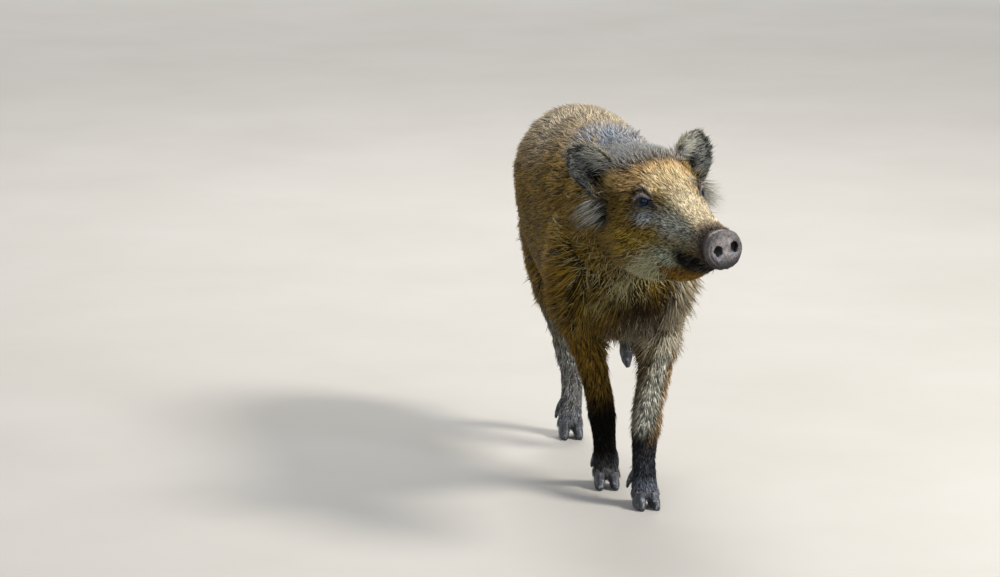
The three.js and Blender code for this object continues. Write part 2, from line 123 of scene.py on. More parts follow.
# A tuft: how deep it is rooted in mm, how far up it is widest, its rise there, and its crest's height.
ROOT_DEPTH = 0.9
TUFT_WAIST = 0.42
TUFT_RISE = 0.30
TUFT_CREST = 0.35
# The shares of the tufts that are thin bristles, and that stay dark.
BRISTLES = 0.36
DARK_TUFTS = 0.16


def bounded(x):
    """x, held between 0 and 1."""
    return np.clip(x, 0, 1)


def ramp(x, start, end):
    """0 before start, 1 after end, smooth between; start may lie above end."""
    t = bounded((x - start) / (end - start))
    return t * t * (3 - 2 * t)


def bump(x, middle, half):
    """1 at middle, falling to about a third at half from it."""
    return np.exp(-(((x - middle) / half) ** 2))


def unit(v):
    """Each row of v with length 1."""
    return v / np.maximum(np.linalg.norm(v, axis=-1, keepdims=True), 1e-9)


def to_head(p_mm):
    """Points of the frame, in mm, in the head's own axes."""
    return (p_mm - HEAD_JOINT) @ HEAD_TURN


def from_head(v):
    """Directions in the head's own axes, turned into the frame."""
    return np.asarray(v, float) @ HEAD_TURN.T


def mirrored(h):
    """The factors that turn the left side's directions into those of each point's own side."""
    return np.where(h[:, :1] < 0, [[-1.0, 1.0, 1.0]], 1.0)


# ---- noise


def hash3(i, j, k):
    """A fixed random number from 0 to 1 for each whole-number cell."""
    n = i * 374761393 + j * 668265263 + k * 2147483647
    n = (n ^ (n >> 13)) * 1274126177
    n = n & 0x7FFFFFFF
    n = (n ^ (n >> 16)) * 974711
    return (n & 0xFFFF) / 65535


def noise(p, size):
    """Smooth noise from -1 to 1, in lumps of about size."""
    q = p / size
    base = np.floor(q).astype(np.int64)
    f = q - base
    f = f * f * (3 - 2 * f)
    total = np.zeros(len(p))
    for corner in range(8):
        o = np.array([corner & 1, corner >> 1 & 1, corner >> 2])
        w = np.prod(np.where(o, f, 1.0 - f), axis=1)
        c = base + o
        total += w * hash3(c[:, 0], c[:, 1], c[:, 2])
    return total * 2 - 1


# ---- meshes


def mesh_points(mesh):
    co = np.zeros(len(mesh.vertices) * 3, np.float32)
    mesh.vertices.foreach_get("co", co)
    return co.reshape(-1, 3).astype(float)


def mesh_triangles(mesh):
    mesh.calc_loop_triangles()
    tri = np.zeros(len(mesh.loop_triangles) * 3, np.int32)
    mesh.loop_triangles.foreach_get("vertices", tri)
    return tri.reshape(-1, 3)


def welded(mesh):
    """The points and triangles of a mesh, with equal points made one."""
    co = mesh_points(mesh)
    places = np.round(co * 1e6).astype(np.int64)
    _, first, back = np.unique(places, axis=0, return_index=True, return_inverse=True)
    return co[first], back.ravel()[mesh_triangles(mesh)]


def split(quads):
    """Two triangles for each quad."""
    return np.concatenate([quads[:, [0, 1, 2]], quads[:, [0, 2, 3]]])


def make_mesh(name, points, faces):
    """A mesh from arrays, whose faces all have as many corners as faces has columns."""
    mesh = bpy.data.meshes.new(name)
    sides = faces.shape[1]
    mesh.vertices.add(len(points))
    mesh.vertices.foreach_set("co", np.ascontiguousarray(points, np.float32).ravel())
    mesh.loops.add(faces.size)
    mesh.loops.foreach_set("vertex_index", np.ascontiguousarray(faces, np.int32).ravel())
    mesh.polygons.add(len(faces))
    mesh.polygons.foreach_set("loop_start", np.arange(0, faces.size, sides, dtype=np.int32))
    mesh.polygons.foreach_set("use_smooth", np.full(len(faces), True))
    mesh.update(calc_edges=True)
    return mesh


def add_object(name, mesh):
    obj = bpy.data.objects.new(name, mesh)
    bpy.context.scene.collection.objects.link(obj)
    return obj


def edges_of(triangles):
    """Each edge of the triangles once, as two columns."""
    pairs = np.concatenate([triangles[:, [0, 1]], triangles[:, [1, 2]], triangles[:, [2, 0]]])
    return np.unique(np.sort(pairs, axis=1), axis=0)


def relax(values, edges, rounds, strength):
    """Moves each point's values towards the mean of its neighbours', by strength, round after round."""
    a = np.concatenate([edges[:, 0], edges[:, 1]])
    b = np.concatenate([edges[:, 1], edges[:, 0]])
    count = np.maximum(np.bincount(a, minlength=len(values)), 1)
    strength = np.broadcast_to(strength, len(values))
    for _ in range(rounds):
        for axis in range(values.shape[1]):
            mean = np.bincount(a, weights=values[b, axis], minlength=len(values)) / count
            values[:, axis] += (mean - values[:, axis]) * strength
    return values


def search_tree(places):
    """A tree that finds the nearest of some places."""
    tree = kdtree.KDTree(len(places))
    for i, place in enumerate(places):
        tree.insert(place, i)
    tree.balance()
    return tree


def vertex_normals(points, triangles):
    a, b, c = (points[triangles[:, i]] for i in range(3))
    face = np.cross(b - a, c - a)
    total = np.zeros_like(points)
    for corner in range(3):
        for axis in range(3):
            total[:, axis] += np.bincount(triangles[:, corner], weights=face[:, axis], minlength=len(points))
    return unit(total)


# ---- the skin's outer form

FLESH = [n for n in nodes if not any(word in n for word in ("eye", "hoof", "dewclaw"))]


class Volume:
    """A distance grid round some nodes, and which of them is nearest at each point."""

    def __init__(self, names, voxel, margin):
        corners = [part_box(n) for n in names]
        self.voxel = voxel
        self.low = np.min([np.array(lo) for lo, _ in corners], axis=0) - margin
        high = np.max([np.array(hi) for _, hi in corners], axis=0) + margin
        shape = np.ceil((high - self.low) / voxel).astype(int)
        self.transform = vdb.createLinearTransform(voxel)
        self.distance = None
        self.nearest = np.zeros(shape, np.uint8)
        for index, name in enumerate(names):
            points, triangles = welded(nodes[name].data)
            grid = vdb.FloatGrid.createLevelSetFromPolygons(
                (points - self.low).astype(np.float32),
                triangles=triangles.astype(np.uint32),
                transform=self.transform,
                halfWidth=3.0,
            )
            if self.distance is None:
                self.distance = np.full(shape, grid.background, np.float32)
            box = self.cells(*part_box(name), shape)
            part = np.full([s.stop - s.start for s in box], grid.background, np.float32)
            grid.copyToArray(part, ijk=tuple(s.start for s in box))
            closer = part < self.distance[box]
            self.nearest[box][closer] = index
            self.distance[box][closer] = part[closer]

    def cells(self, low, high, shape):
        """The slices of the grid that hold a box and the band round it."""
        start = np.maximum(np.floor((np.array(low) - self.low) / self.voxel).astype(int) - 4, 0)
        end = np.minimum(np.ceil((np.array(high) - self.low) / self.voxel).astype(int) + 5, shape)
        return tuple(slice(a, b) for a, b in zip(start, end))

    def surface(self, level):
        """The quads of the surface at that distance."""
        grid = vdb.FloatGrid(background=float(self.distance.max()))
        grid.transform = self.transform
        grid.copyFromArray(self.distance, tolerance=0)
        points, _, quads = grid.convertToPolygons(isovalue=level, adaptivity=0.0)
        return points + self.low, np.asarray(quads, np.int64)

    def node_at(self, points):
        """The index of the node nearest each point."""
        cell = ((points - self.low) / self.voxel).round().astype(int)
        return self.nearest[tuple(np.clip(cell, 0, np.array(self.nearest.shape) - 1).T)]


# Each part of the coat, by what its node's name holds. flow is the way the hair lies, in the head's axes
# for the parts of the head and in the frame's for the others. The next are in mm: the coat's depth, the
# tufts' length and width, and how many there are on a square mm. soft is how far its facets are smoothed.
PARTS = {
    "nose_disc": dict(flow=(0.0, 1.0, 0.0), depth=0.4, long=3.0, wide=0.5, dense=0.0, soft=0.12),
    "muzzle": dict(flow=(0.0, 1.0, -0.10), depth=1.4, long=5.5, wide=0.75, dense=0.85, soft=0.40),
    "lower_jaw": dict(flow=(0.0, 1.0, -0.45), depth=1.8, long=8.0, wide=0.8, dense=0.75, soft=0.40),
    "head": dict(flow=(0.0, 1.0, -0.30), depth=3.0, long=9.5, wide=0.95, dense=0.72, soft=0.50),
    "ear": dict(flow=(0.0, 0.1, 0.0), depth=1.3, long=8.5, wide=0.7, dense=0.80, soft=0.22),
    "neck": dict(flow=(0.0, 0.8, -0.60), depth=6.5, long=19.0, wide=1.5, dense=0.34, soft=0.70),
    "trunk": dict(flow=(0.0, 1.0, -0.38), depth=7.5, long=25.0, wide=1.8, dense=0.27, soft=0.70),
    "tail": dict(flow=(0.0, 0.1, -1.0), depth=3.0, long=22.0, wide=1.2, dense=0.40, soft=0.50),
    "foreleg_upper": dict(flow=(0.0, 0.22, -1.0), depth=4.0, long=13.0, wide=1.2, dense=0.46, soft=0.60),
    "hindleg_upper": dict(flow=(0.0, 0.40, -1.0), depth=4.0, long=15.0, wide=1.4, dense=0.40, soft=0.60),
    "lower": dict(flow=(0.0, 0.22, -1.0), depth=1.8, long=7.5, wide=0.9, dense=0.68, soft=0.50),
    "foot": dict(flow=(0.0, 0.12, -1.0), depth=1.2, long=5.5, wide=0.8, dense=0.78, soft=0.40),
}
HEAD_PARTS = ("nose_disc", "muzzle", "lower_jaw", "head", "ear")
GROUPS = (*HEAD_PARTS, "neck", "trunk", "tail", "foreleg", "hindleg", "shin", "foot")


def part_of(node):
    """The row of PARTS that a node's name stands for."""
    if node.endswith("_upper"):
        return node.split("_")[0] + "_upper"
    return next(p for p in PARTS if p in node)


def group_of(node):
    """The row of GROUPS that a node's name stands for."""
    if node.endswith("_foot"):
        return "foot"
    if node.endswith("_lower"):
        return "shin"
    if node.endswith("_upper"):
        return node.split("_")[0]
    return next(g for g in GROUPS if g in node)


# The skin is drawn over the eyeballs too, and its lids are opened later.
SKINNED = FLESH + ["eye_left", "eye_right"]
volume = Volume(SKINNED, VOXEL, 6 * MM)
points, quads = volume.surface(CLOSING)

# The trunk, neck and upper legs, which the coat hides, keep fewer triangles than the head, ears and feet.
outer = make_mesh("outer", points, quads)
outer_object = add_object("outer", outer)
coarse_nodes = [n for n in FLESH if n in ("trunk", "neck", "head") or n.endswith("_upper")]
coarse = np.isin(volume.node_at(points), [FLESH.index(n) for n in coarse_nodes])
hidden = outer_object.vertex_groups.new(name="coarse")
hidden.add(np.flatnonzero(coarse).tolist(), 1.0, "REPLACE")
thin = outer_object.modifiers.new("thin", "DECIMATE")
thin.vertex_group = "coarse"
thin.vertex_group_factor = 10.0
thin.ratio = SKIN_TRIANGLES / (2 * len(quads))
thin.use_collapse_triangulate = True
thinned = bpy.data.meshes.new_from_object(outer_object.evaluated_get(bpy.context.evaluated_depsgraph_get()))
bpy.data.objects.remove(outer_object)


def refine(mesh, near, longest):
    """Splits the edges longer than longest, in mm, where near(points in mm) is true."""
    work = bmesh.new()
    work.from_mesh(mesh)
    chosen = near(mesh_points(mesh) / MM)
    edges = [
        e
        for e in work.edges
        if chosen[e.verts[0].index] and chosen[e.verts[1].index] and e.calc_length() > longest * MM
    ]
    bmesh.ops.subdivide_edges(work, edges=edges, cuts=1, use_grid_fill=True)
    bmesh.ops.triangulate(work, faces=[f for f in work.faces if len(f.verts) > 3])
    work.to_mesh(mesh)
    work.free()


def eye_distance(p_mm):
    """How far points are from the nearer eye's centre, in mm."""
    h = to_head(p_mm)
    return np.minimum(*(np.linalg.norm(h - np.array(place), axis=1) for place in EYE_PLACES.values()))


def near_nose(p_mm):
    _, back, height = to_head(p_mm).T
    return (back < -236) & (back > -262) & (height > -54)


def near_mouth(p_mm):
    _, back, height = to_head(p_mm).T
    return (np.abs(height - mouth_height(back)) < 4) & (back < -150) & (back > -236)


def mouth_height(back):
    """The height of the mouth's line in the head's axes, from the nose back to its corner."""
    return -42 + 9 * ramp(back, -236, -176) + 5 * ramp(back, -176, -150)


refine(thinned, lambda p: near_nose(p) | near_mouth(p), FACE_EDGE)
for _ in range(3):
    refine(thinned, lambda p: eye_distance(p) < LID_REACH, LID_EDGE)

points = mesh_points(thinned)
triangles = mesh_triangles(thinned).astype(np.int64)
edges = edges_of(triangles)

# What each point carries: its part's values and how much it belongs to each group, softened over the joins.
node_names = np.array(FLESH + ["head", "head"])[volume.node_at(points)]
flow = np.zeros((len(points), 3))
carried = np.zeros((len(points), 5 + len(GROUPS)))
for n in FLESH:
    here = node_names == n
    row = PARTS[part_of(n)]
    flow[here] = from_head(row["flow"]) if part_of(n) in HEAD_PARTS else row["flow"]
    carried[here, :5] = row["depth"], row["long"], row["wide"], row["dense"], row["soft"]
    carried[here, 5 + GROUPS.index(group_of(n))] = 1
outward = vertex_normals(points, triangles) @ HEAD_TURN
for side in (-1, 1):
    here = node_names == ("ear_left" if side > 0 else "ear_right")
    mirror = np.array([side, 1.0, 1.0])
    inner = (outward @ (mirror * EAR_FACING) > 0.2)[:, None]
    flow[here] = from_head(mirror * np.where(inner, 0.7 * EAR_REACH + 0.6 * EAR_ACROSS, EAR_REACH))[here]
nose_share = carried[:, 5 + GROUPS.index("nose_disc")].copy()
relax(carried, edges, 40, 0.7)
flow = relax(flow, edges, 40, 0.7)
carried[:, 5] = relax(nose_share[:, None], edges, 2, 0.5)[:, 0]
group = {g: carried[:, 5 + i] for i, g in enumerate(GROUPS)}

# The hair turns away from the eyes' lids.
for place in EYE_PLACES.values():
    outwards = to_head(points / MM) - np.array(place)
    far = np.linalg.norm(outwards, axis=1, keepdims=True)
    flow += from_head(outwards / far) * 0.8 * ramp(far, 24, 15)

head_share = group["head"] + group["lower_jaw"]
joint = bounded(4.5 * head_share * (group["neck"] + group["trunk"]))
relax(points, edges, 30, 0.8 * joint)
relax(points, edges, 9, carried[:, 4])
normals = vertex_normals(points, triangles)
eye_far = eye_distance(points / MM)
depth = carried[:, 0] * (0.35 + 0.65 * ramp(eye_far, 11, 24))
points -= normals * ((depth * MM + CLOSING)[:, None])
relax(points, edges, 3, carried[:, 4] * 0.5)


# ---- the face's folds


def eye_axes(side):
    """The eye's centre in mm, and its gaze, the way to the nose and the way up."""
    centre = from_head(EYE_PLACES[side]) + HEAD_JOINT
    gaze = unit(from_head((side * EYE_GAZE[0], *EYE_GAZE[1:])))
    up = from_head((0.0, 0.0, 1.0))
    up = unit(up - gaze * (up @ gaze))
    nose = np.cross(up, gaze)
    return centre, gaze, nose * np.sign(nose @ from_head((0.0, -1.0, 0.0))), up


def eye_place(p_mm, side):
    """How far out of the eye's opening points lie, 1 on its rim, with their places along its axes."""
    centre, gaze, nose, up = eye_axes(side)
    q = p_mm - centre
    u, v, w = q @ nose, q @ up, q @ gaze
    v = v + LID_LOW + 0.0124 * u * u
    long = np.where(u > 0, LID_TO_NOSE, LID_LONG)
    high = np.where(v > 0, LID_UP, LID_DOWN) * (1.0 - 0.75 * bounded(u / long))
    plain = np.hypot(u / long, v / high)
    # Near the opening the places are those on the eyeball itself, further out those on a flat plate.
    onto = EYE_RADIUS / np.maximum(np.linalg.norm(q, axis=1), 4.0)
    onto = onto + (1 - onto) * ramp(plain, 1, 2)
    e = np.hypot(np.where(u > 0, u, u * onto) / long, v * onto / high)
    return e + np.maximum(u - LID_TO_NOSE, 0) / 4, u, v, w, q


def shape_lids(points_mm, side):
    """Lays the skin round the eyeball: a rim, a rounded lid and the folds over and under it."""
    e, u, v, w, q = eye_place(points_mm, side)
    reach = np.linalg.norm(q, axis=1)
    near = (reach < 30) & (w > -3) & (e < 3.6)
    e, u, v, q, reach = e[near], u[near], v[near], q[near], reach[near]
    above = ramp(v, -0.5, 1.5)
    # Behind the eyeball's face the skin dips inside it; past the eyeball it makes the corner's groove.
    inside = EYE_RADIUS - 1.8
    inside = inside + np.maximum(reach - 2 - inside, 0) * ramp(u, 9, 11)
    rim = np.maximum(EYE_RADIUS + 0.8, inside + 0.6)
    lid = rim + 0.5 + 1.5 * above
    target = inside + (rim - inside) * ramp(e, 0.90, 1.02)
    target = target + (lid - rim) * ramp(e, 1.02, 1.22 + 0.10 * above)
    target = target + (reach - target) * ramp(e, 1.45 + 0.35 * above, 2.6 + 0.4 * above)
    folds = (0.9 * bump(e, 1.50, 0.25) - 1.8 * bump(e, 2.3, 0.26) + 0.9 * bump(e, 2.85, 0.25)) * above
    below = -0.6 * bump(e, 1.55, 0.11) + 0.35 * bump(e, 1.8, 0.14) - 0.4 * bump(e, 2.1, 0.13)
    folds += below * (1 - above)
    points_mm[near] += unit(q) * (target + folds - reach)[:, None]


def lids(p_mm):
    """How far out of the eyes' openings points lie, whether on an upper lid, and how near its nose end."""
    ring, upper, to_nose = np.full(len(p_mm), 9.0), np.zeros(len(p_mm)), np.zeros(len(p_mm))
    for side in (-1, 1):
        e, u, v, w, q = eye_place(p_mm, side)
        close = (np.linalg.norm(q, axis=1) < 32) & (w > -3)
        ring = np.where(close, np.minimum(ring, e), ring)
        upper = np.where(close, ramp(v, -0.5, 1.5), upper)
        to_nose = np.where(close, ramp(u, 6, 11), to_nose)
    return ring, upper, to_nose


def ear_place(h):
    """How far points of the head's axes lie along an ear, across it and out of its hollow, in mm."""
    q = h * mirrored(h) - EAR_ROOT
    return q @ EAR_REACH, q @ EAR_ACROSS, q @ EAR_FACING


def hollow_of_ear(along, across):
    """1 in the dark hollow at an ear's root, 0 away from it."""
    return bump(along, 12, 13) * bump(across, -2, 10)


def open_head(points_mm, normals, ear):
    """Flattens the skin below the ears for its long hair, and opens the hollows of the ears and nose."""
    h = to_head(points_mm)
    out, back, height = np.abs(h[:, 0]), h[:, 1], h[:, 2]
    flat = ramp(back, -82, -66) * ramp(back, -20, -34) * ramp(height, -36, -22)
    flat *= 1 - bounded(2 * ear)
    out -= np.maximum(out - 55, 0) * 0.88 * flat
    h[:, 0] = np.where(h[:, 0] < 0, -1.0, 1.0) * out
    along, across, _ = ear_place(h)
    facing = mirrored(h) * EAR_FACING
    inner = ramp(np.sum(normals @ HEAD_TURN * facing, axis=1), 0, 0.5) * ramp(out, 44, 50)
    h -= facing * (6.5 * inner * hollow_of_ear(along, across) * (back > -75))[:, None]
    for place_across, place_up in NOSTRILS:
        u, v = h[:, 0] - place_across, h[:, 2] - place_up
        far = np.maximum(np.hypot(u, v), 0.1)
        wider = 1.6 * bump(far, 3.8, 1.9) * (h[:, 1] < -240)
        rays = 0.3 * np.cos(5 * np.arctan2(v, u) + place_across)
        wider *= 1 + 0.6 * noise(h, 3.2) + rays + 0.35 * np.sign(place_across) * u / far
        h[:, 0] += u / far * wider * (1 if place_across < 0 else 0.5)
        h[:, 2] += v / far * wider * 1.9
    points_mm[:] = from_head(h) + HEAD_JOINT


def crease_mouth(points_mm, normals):
    """Presses the line between the lips into the skin, and rounds the lip over it."""
    side, back, height = to_head(points_mm).T
    off = height - mouth_height(back)
    along = ramp(back, -147, -160) * ramp(np.abs(side), 5, 12)
    along = np.maximum(along, back < -225) * ramp(back, -242, -239) * (np.abs(off) < 12)
    move = (-2.6 * bump(off, 0, 1.3) + 0.7 * bump(off, 3.2, 1.8) + 0.3 * bump(off, -3, 1.6)) * along
    points_mm += normals * move[:, None]


def wrinkle_snout(points_mm, normals):
    """The cross folds on the snout behind the disc, and the fine lumps of the disc itself."""
    h = to_head(points_mm)
    side, back, height = h.T
    place = ramp(back, -205, -222) * ramp(back, -244, -238) * ramp(height, -22, -6)
    wave = np.sin((back + 2.2 * noise(h, 9)) / 5.2 * 2 * np.pi)
    lumps = 0.24 * noise(h, 1.9) + 0.26 * noise(h, 4.2) + 0.8 * noise(h, 12) * ramp(back, -256, -252)
    fold = -1.1 * bump(np.hypot(side / 26, (height + 23) / 25), 0.80, 0.05) * ramp(side, -8, -14)
    points_mm += normals * (0.55 * wave * place + (lumps + fold) * nose_mask)[:, None]


nose_mask = bounded(group["nose_disc"] * 1.4)
p_mm = points / MM
open_head(p_mm, vertex_normals(points, triangles), group["ear"])
side, back, _ = to_head(p_mm).T
flattened = ramp(back, -86, -70) * ramp(back, -16, -32)
flattened *= ramp(np.abs(side), 46, 52) * (1 - bounded(2 * group["ear"]))
relax(p_mm, edges, 14, 0.7 * flattened)
for eye in (-1, 1):
    shape_lids(p_mm, eye)
normals = vertex_normals(p_mm, triangles)
crease_mouth(p_mm, normals)
wrinkle_snout(p_mm, normals)
points = p_mm * MM
normals = vertex_normals(p_mm, triangles)
lid_ring, upper_lid, to_nose = lids(p_mm)


# ---- colours


def srgb(code):
    """A colour written as six hex digits, as linear numbers."""
    c = np.array([int(code[i : i + 2], 16) for i in (0, 2, 4)]) / 255.0
    return np.where(c > 0.04045, ((c + 0.055) / 1.055) ** 2.4, c / 12.92)


def covered(under, code, share):
    """Colours with another laid over them by its share."""
    return under * (1 - share) + srgb(code) * share


def shares(group):
    """How much points belong to the head, the body and the legs."""
    head = group["head"] + group["muzzle"] + group["lower_jaw"] + group["nose_disc"]
    leg = group["foreleg"] + group["hindleg"] + group["shin"] + group["foot"]
    return bounded(head), bounded(group["trunk"] + group["neck"]), bounded(leg)


def markings(p, group):
    """The coat's dark ground and light tips at each point, the same for the skin and the tufts."""
    h = to_head(p)
    side, back, height = np.abs(h[:, 0]), h[:, 1], h[:, 2]
    x, y, z = p.T
    on_head, on_body, on_leg = shares(group)
    rear = ramp(y, 60, 140)
    left = ramp(x, -8, 14)
    broken = noise(p, 9) * 0.5 + noise(p, 23) * 0.5

    dark = np.tile(srgb("191206"), (len(p), 1))
    light = np.tile(srgb("94762a"), (len(p), 1))

    def paint(weight, dark_code, light_code):
        w = bounded(weight)[:, None]
        dark[:] = covered(dark, dark_code, w)
        light[:] = covered(light, light_code, w)

    # The body: yellow-brown sides, grey saddle and rump, grey nape with a painted bluish sheen, dark breast,
    # and a left shoulder paler with painted light.
    top = z + 12 * broken
    paint(on_body * ramp(top, 425, 462), "5b5040", "c3ad85")
    paint(on_body * rear * ramp(top, 380, 450) * 0.8, "5a5244", "c2b49a")
    # The nape: grey hair with a painted bluish sheen, a reflection of the sky.
    nape = ramp(z + 26 * broken, 434, 468) * ramp(y + 50 * broken, 80, 0)
    paint(0.9 * on_body * nape, "2d3644", "8b9bb0")
    paint(on_body * ramp(z, 250, 205), "1c1408", "7a6430")
    front = ramp(y, -50, -95) * on_body
    paint(front * ramp(top, 320, 296) * bump(x, 22, 40) * 1.4, "0d0703", "3d2a15")
    # Painted light: the left shoulder, on the side the light comes from, is painted paler.
    shoulder = left * ramp(x + 16 * broken, 36, 62) * ramp(y + 50 * broken, 30, -60)
    paint(on_body * shoulder * ramp(top, 380, 320) * (0.75 + 0.4 * broken), "9b8f78", "ebe0c4")
    paint(front * bump(top, 228, 24) * ramp(x, -30, 10), "6b5c47", "e6dbc4")

    # The legs: yellow-brown above, dark below, a pale stripe down the left foreleg's front, and painted
    # light on the left foreleg's outer side.
    paint(on_leg, "221808", "94742e")
    paint(on_leg * rear * ramp(z + 14 * broken, 232, 172), "2e2c24", "a3a08e")
    fore = 1 - rear
    paint(on_leg * fore * ramp(z + 14 * broken, 176, 98), "050403", "12100c")
    paint(on_leg * rear * ramp(z, 170, 90), "403f3d", "bdbcb8")
    near_left = on_leg * fore * left
    across_leg = x - 0.35 * (z - 145)
    stripe = bump(across_leg, 31, 8) * ramp(z, 85, 118) * ramp(z, 250, 225) * ramp(y, 0, -40)
    paint(near_left * ramp(z, 175, 205) * ramp(x, 74, 60), "1e1008", "5a4028")
    # Painted light: the left foreleg's outer side, which faces the light, is painted paler.
    paint(near_left * ramp(z, 70, 120) * ramp(z, 240, 215) * ramp(across_leg, 36, 44), "6e5636", "dab27c")
    paint(near_left * ramp(z, 100, 130) * ramp(across_leg, 26, 16) * 0.8, "120e08", "4e4229")
    paint(near_left * stripe * 1.3, "6b6a5f", "dddac8")
    paint(near_left * ramp(z + 12 * broken, 108, 56), "1a1b1e", "55585f")
    paint(near_left * ramp(z, 46, 28), "3a3f4a", "a3abbc")
    paint(on_leg * fore * (1 - left) * ramp(z, 60, 25), "15130f", "5a5b5c")
    paint(on_leg * rear * ramp(z, 46, 24), "3a3c44", "b4b8c2")

    # The head, from the crown to the lips.
    paint(on_head, "281e08", "94793a")
    crown = on_head * ramp(height + 14 * broken, 40, 62) * ramp(back + 20 * broken, -96, -46)
    # The brow and the bridge of the snout: paler hair, brightened further with painted light from above.
    brow = on_head * ramp(height, 22, 40) * ramp(back, -34, -66)
    paint(brow, "4f3d26", "eec586")
    paint(brow * ramp(back, -88, -116) * ramp(side, 34, 20), "6e5a3c", "ffe8b4")
    paint(crown * 0.9, "24262c", "858a8e")
    bridge = on_head * ramp(back, -120, -165) * ramp(side, 27, 12) * ramp(height, -12, 4)
    paint(bridge, "7d6c4c", "fff0cc")
    flank = on_head * ramp(back, -135, -165) * ramp(side, 12, 25) * bump(height, -2, 18)
    paint(flank, "34362f", "dcdccc")
    cheek = on_head * bump(height, -24, 17) * ramp(back, -172, -146) * ramp(back, -40, -80)
    paint(cheek * 0.9, "241a05", "c3a548")
    stripe_height = -29 - 0.42 * (back + 190) + 6 * broken
    pale = bump(height, stripe_height, 9) * ramp(back, -216, -200) * ramp(back, 20, -30)
    paint(on_head * pale * (0.55 + 0.5 * broken), "2c2d1a", "c0bf98")
    patch = bump(back, -160, 24) * bump(height + 4 * broken, -41, 10) * ramp(side, 12, 22)
    paint(on_head * patch * 1.1, "474f3c", "d3dac4")
    neck_stripe = bump(z, 302 + 0.75 * (x + 14), 9) * ramp(x, 6, -8) * ramp(x, -62, -46)
    paint(on_body * neck_stripe * ramp(y, -70, -96) * (0.6 + 0.6 * broken), "2b2a18", "a9a880")
    jaw = ramp(height + 6 * broken, -46, -58) * ramp(back + 16 * broken, -132, -170)
    paint(on_head * jaw * 0.9, "241903", "a87c22")
    # Painted shadow: the lips under the muzzle's side and the chin below them are painted near-black.
    lips = bump(height, mouth_height(back) - 6, 12.5) * ramp(back, -172, -198) * ramp(side, 2, 9)
    paint(on_head * lips * 1.7, "020101", "070504")
    chin = ramp(back, -200, -218) * ramp(height, -30, -40)
    paint(on_head * chin * 1.4, "030202", "0a0806")
    rim = on_head * ramp(back, -208, -234) * (0.85 + 0.6 * broken)
    paint(rim * ramp(height, -30, -18), "30251c", "7f6c58")
    paint(on_head * ramp(back, -229, -237), "1a1512", "4c423a")
    throat = on_head * ramp(height, -62, -74)
    paint(throat * ramp(back, -160, -130), "1d1408", "86713f")

    # Round the eyes: pale hair over the lid, a grey patch below, the tear's line, the fold, dark with
    # painted shade, and the corner.
    e_back, e_up = back - EYE_PLACES[1][1], height - EYE_PLACES[1][2]
    outside = on_head * ramp(side, 20, 27)
    ring, upper, to_nose = lids(p)
    paint(outside * upper * bump(ring, 3.7, 0.6), "5d5a50", "d2c8ae")
    paint(outside * bump(e_back, -12, 16) * bump(e_up, -16.5, 8) * 1.25, "484e50", "dce2e2")
    tear = bump(e_up, -4 + 0.42 * (e_back + 14), 3) * ramp(e_back, -33, -26) * ramp(e_back, -8, -13)
    paint(outside * tear * 0.4, "15130f", "3d3a32")
    # The fold over the upper lid: dark hair, darkened more as painted shade in its crease.
    paint(outside * upper * bump(ring, 2.45, 0.48) * 1.3, "0e0c0a", "2c2822")
    paint(outside * to_nose * bump(ring, 1.5, 0.6) * 1.2, "100b07", "2a1f16")

    # The ears: dark grey, with pale hair across the hollow, a pale fringe along the upper rim, and painted
    # shade deep in the hollow at the root.
    along, across, out = ear_place(h)
    ear = group["ear"]
    paint(ear, "090909", "6e706b")
    paint(ear * ramp(out, -1, 1.5) * bump(along, 36, 15) * ramp(across, 14, -8) * 0.85, "1c1c1a", "b6b5a8")
    far_inner = ear * (h[:, 0] > 0) * ramp(out, -2, 1) * ramp(across, 18, -4) * ramp(along, 6, 20)
    paint(far_inner * (0.55 + 0.5 * broken), "3a3a35", "d6d4c6")
    paint(ear * ramp(across, -19, -24) * ramp(along, 12, 28), "3d3a32", "a09a86")
    paint(ear * ramp(along, 52, 60) * 0.6, "3a3832", "b8b09a")
    # Painted shade: deep in the hollow at each ear's root the skin and hair are painted near-black.
    root = ear + on_head * ramp(side, 44, 50) * ramp(back, -66, -56)
    paint(root * hollow_of_ear(along, across) * ramp(out, -14, -6) * 1.6, "040302", "120f0b")
    ruff = bump(back, -48, 18) * ramp(side, 46, 54) * ramp(height, 34, 18) * ramp(height, -26, -8)
    paint(on_head * ruff, "121314", "45484a")
    return dark, light


# ---- materials


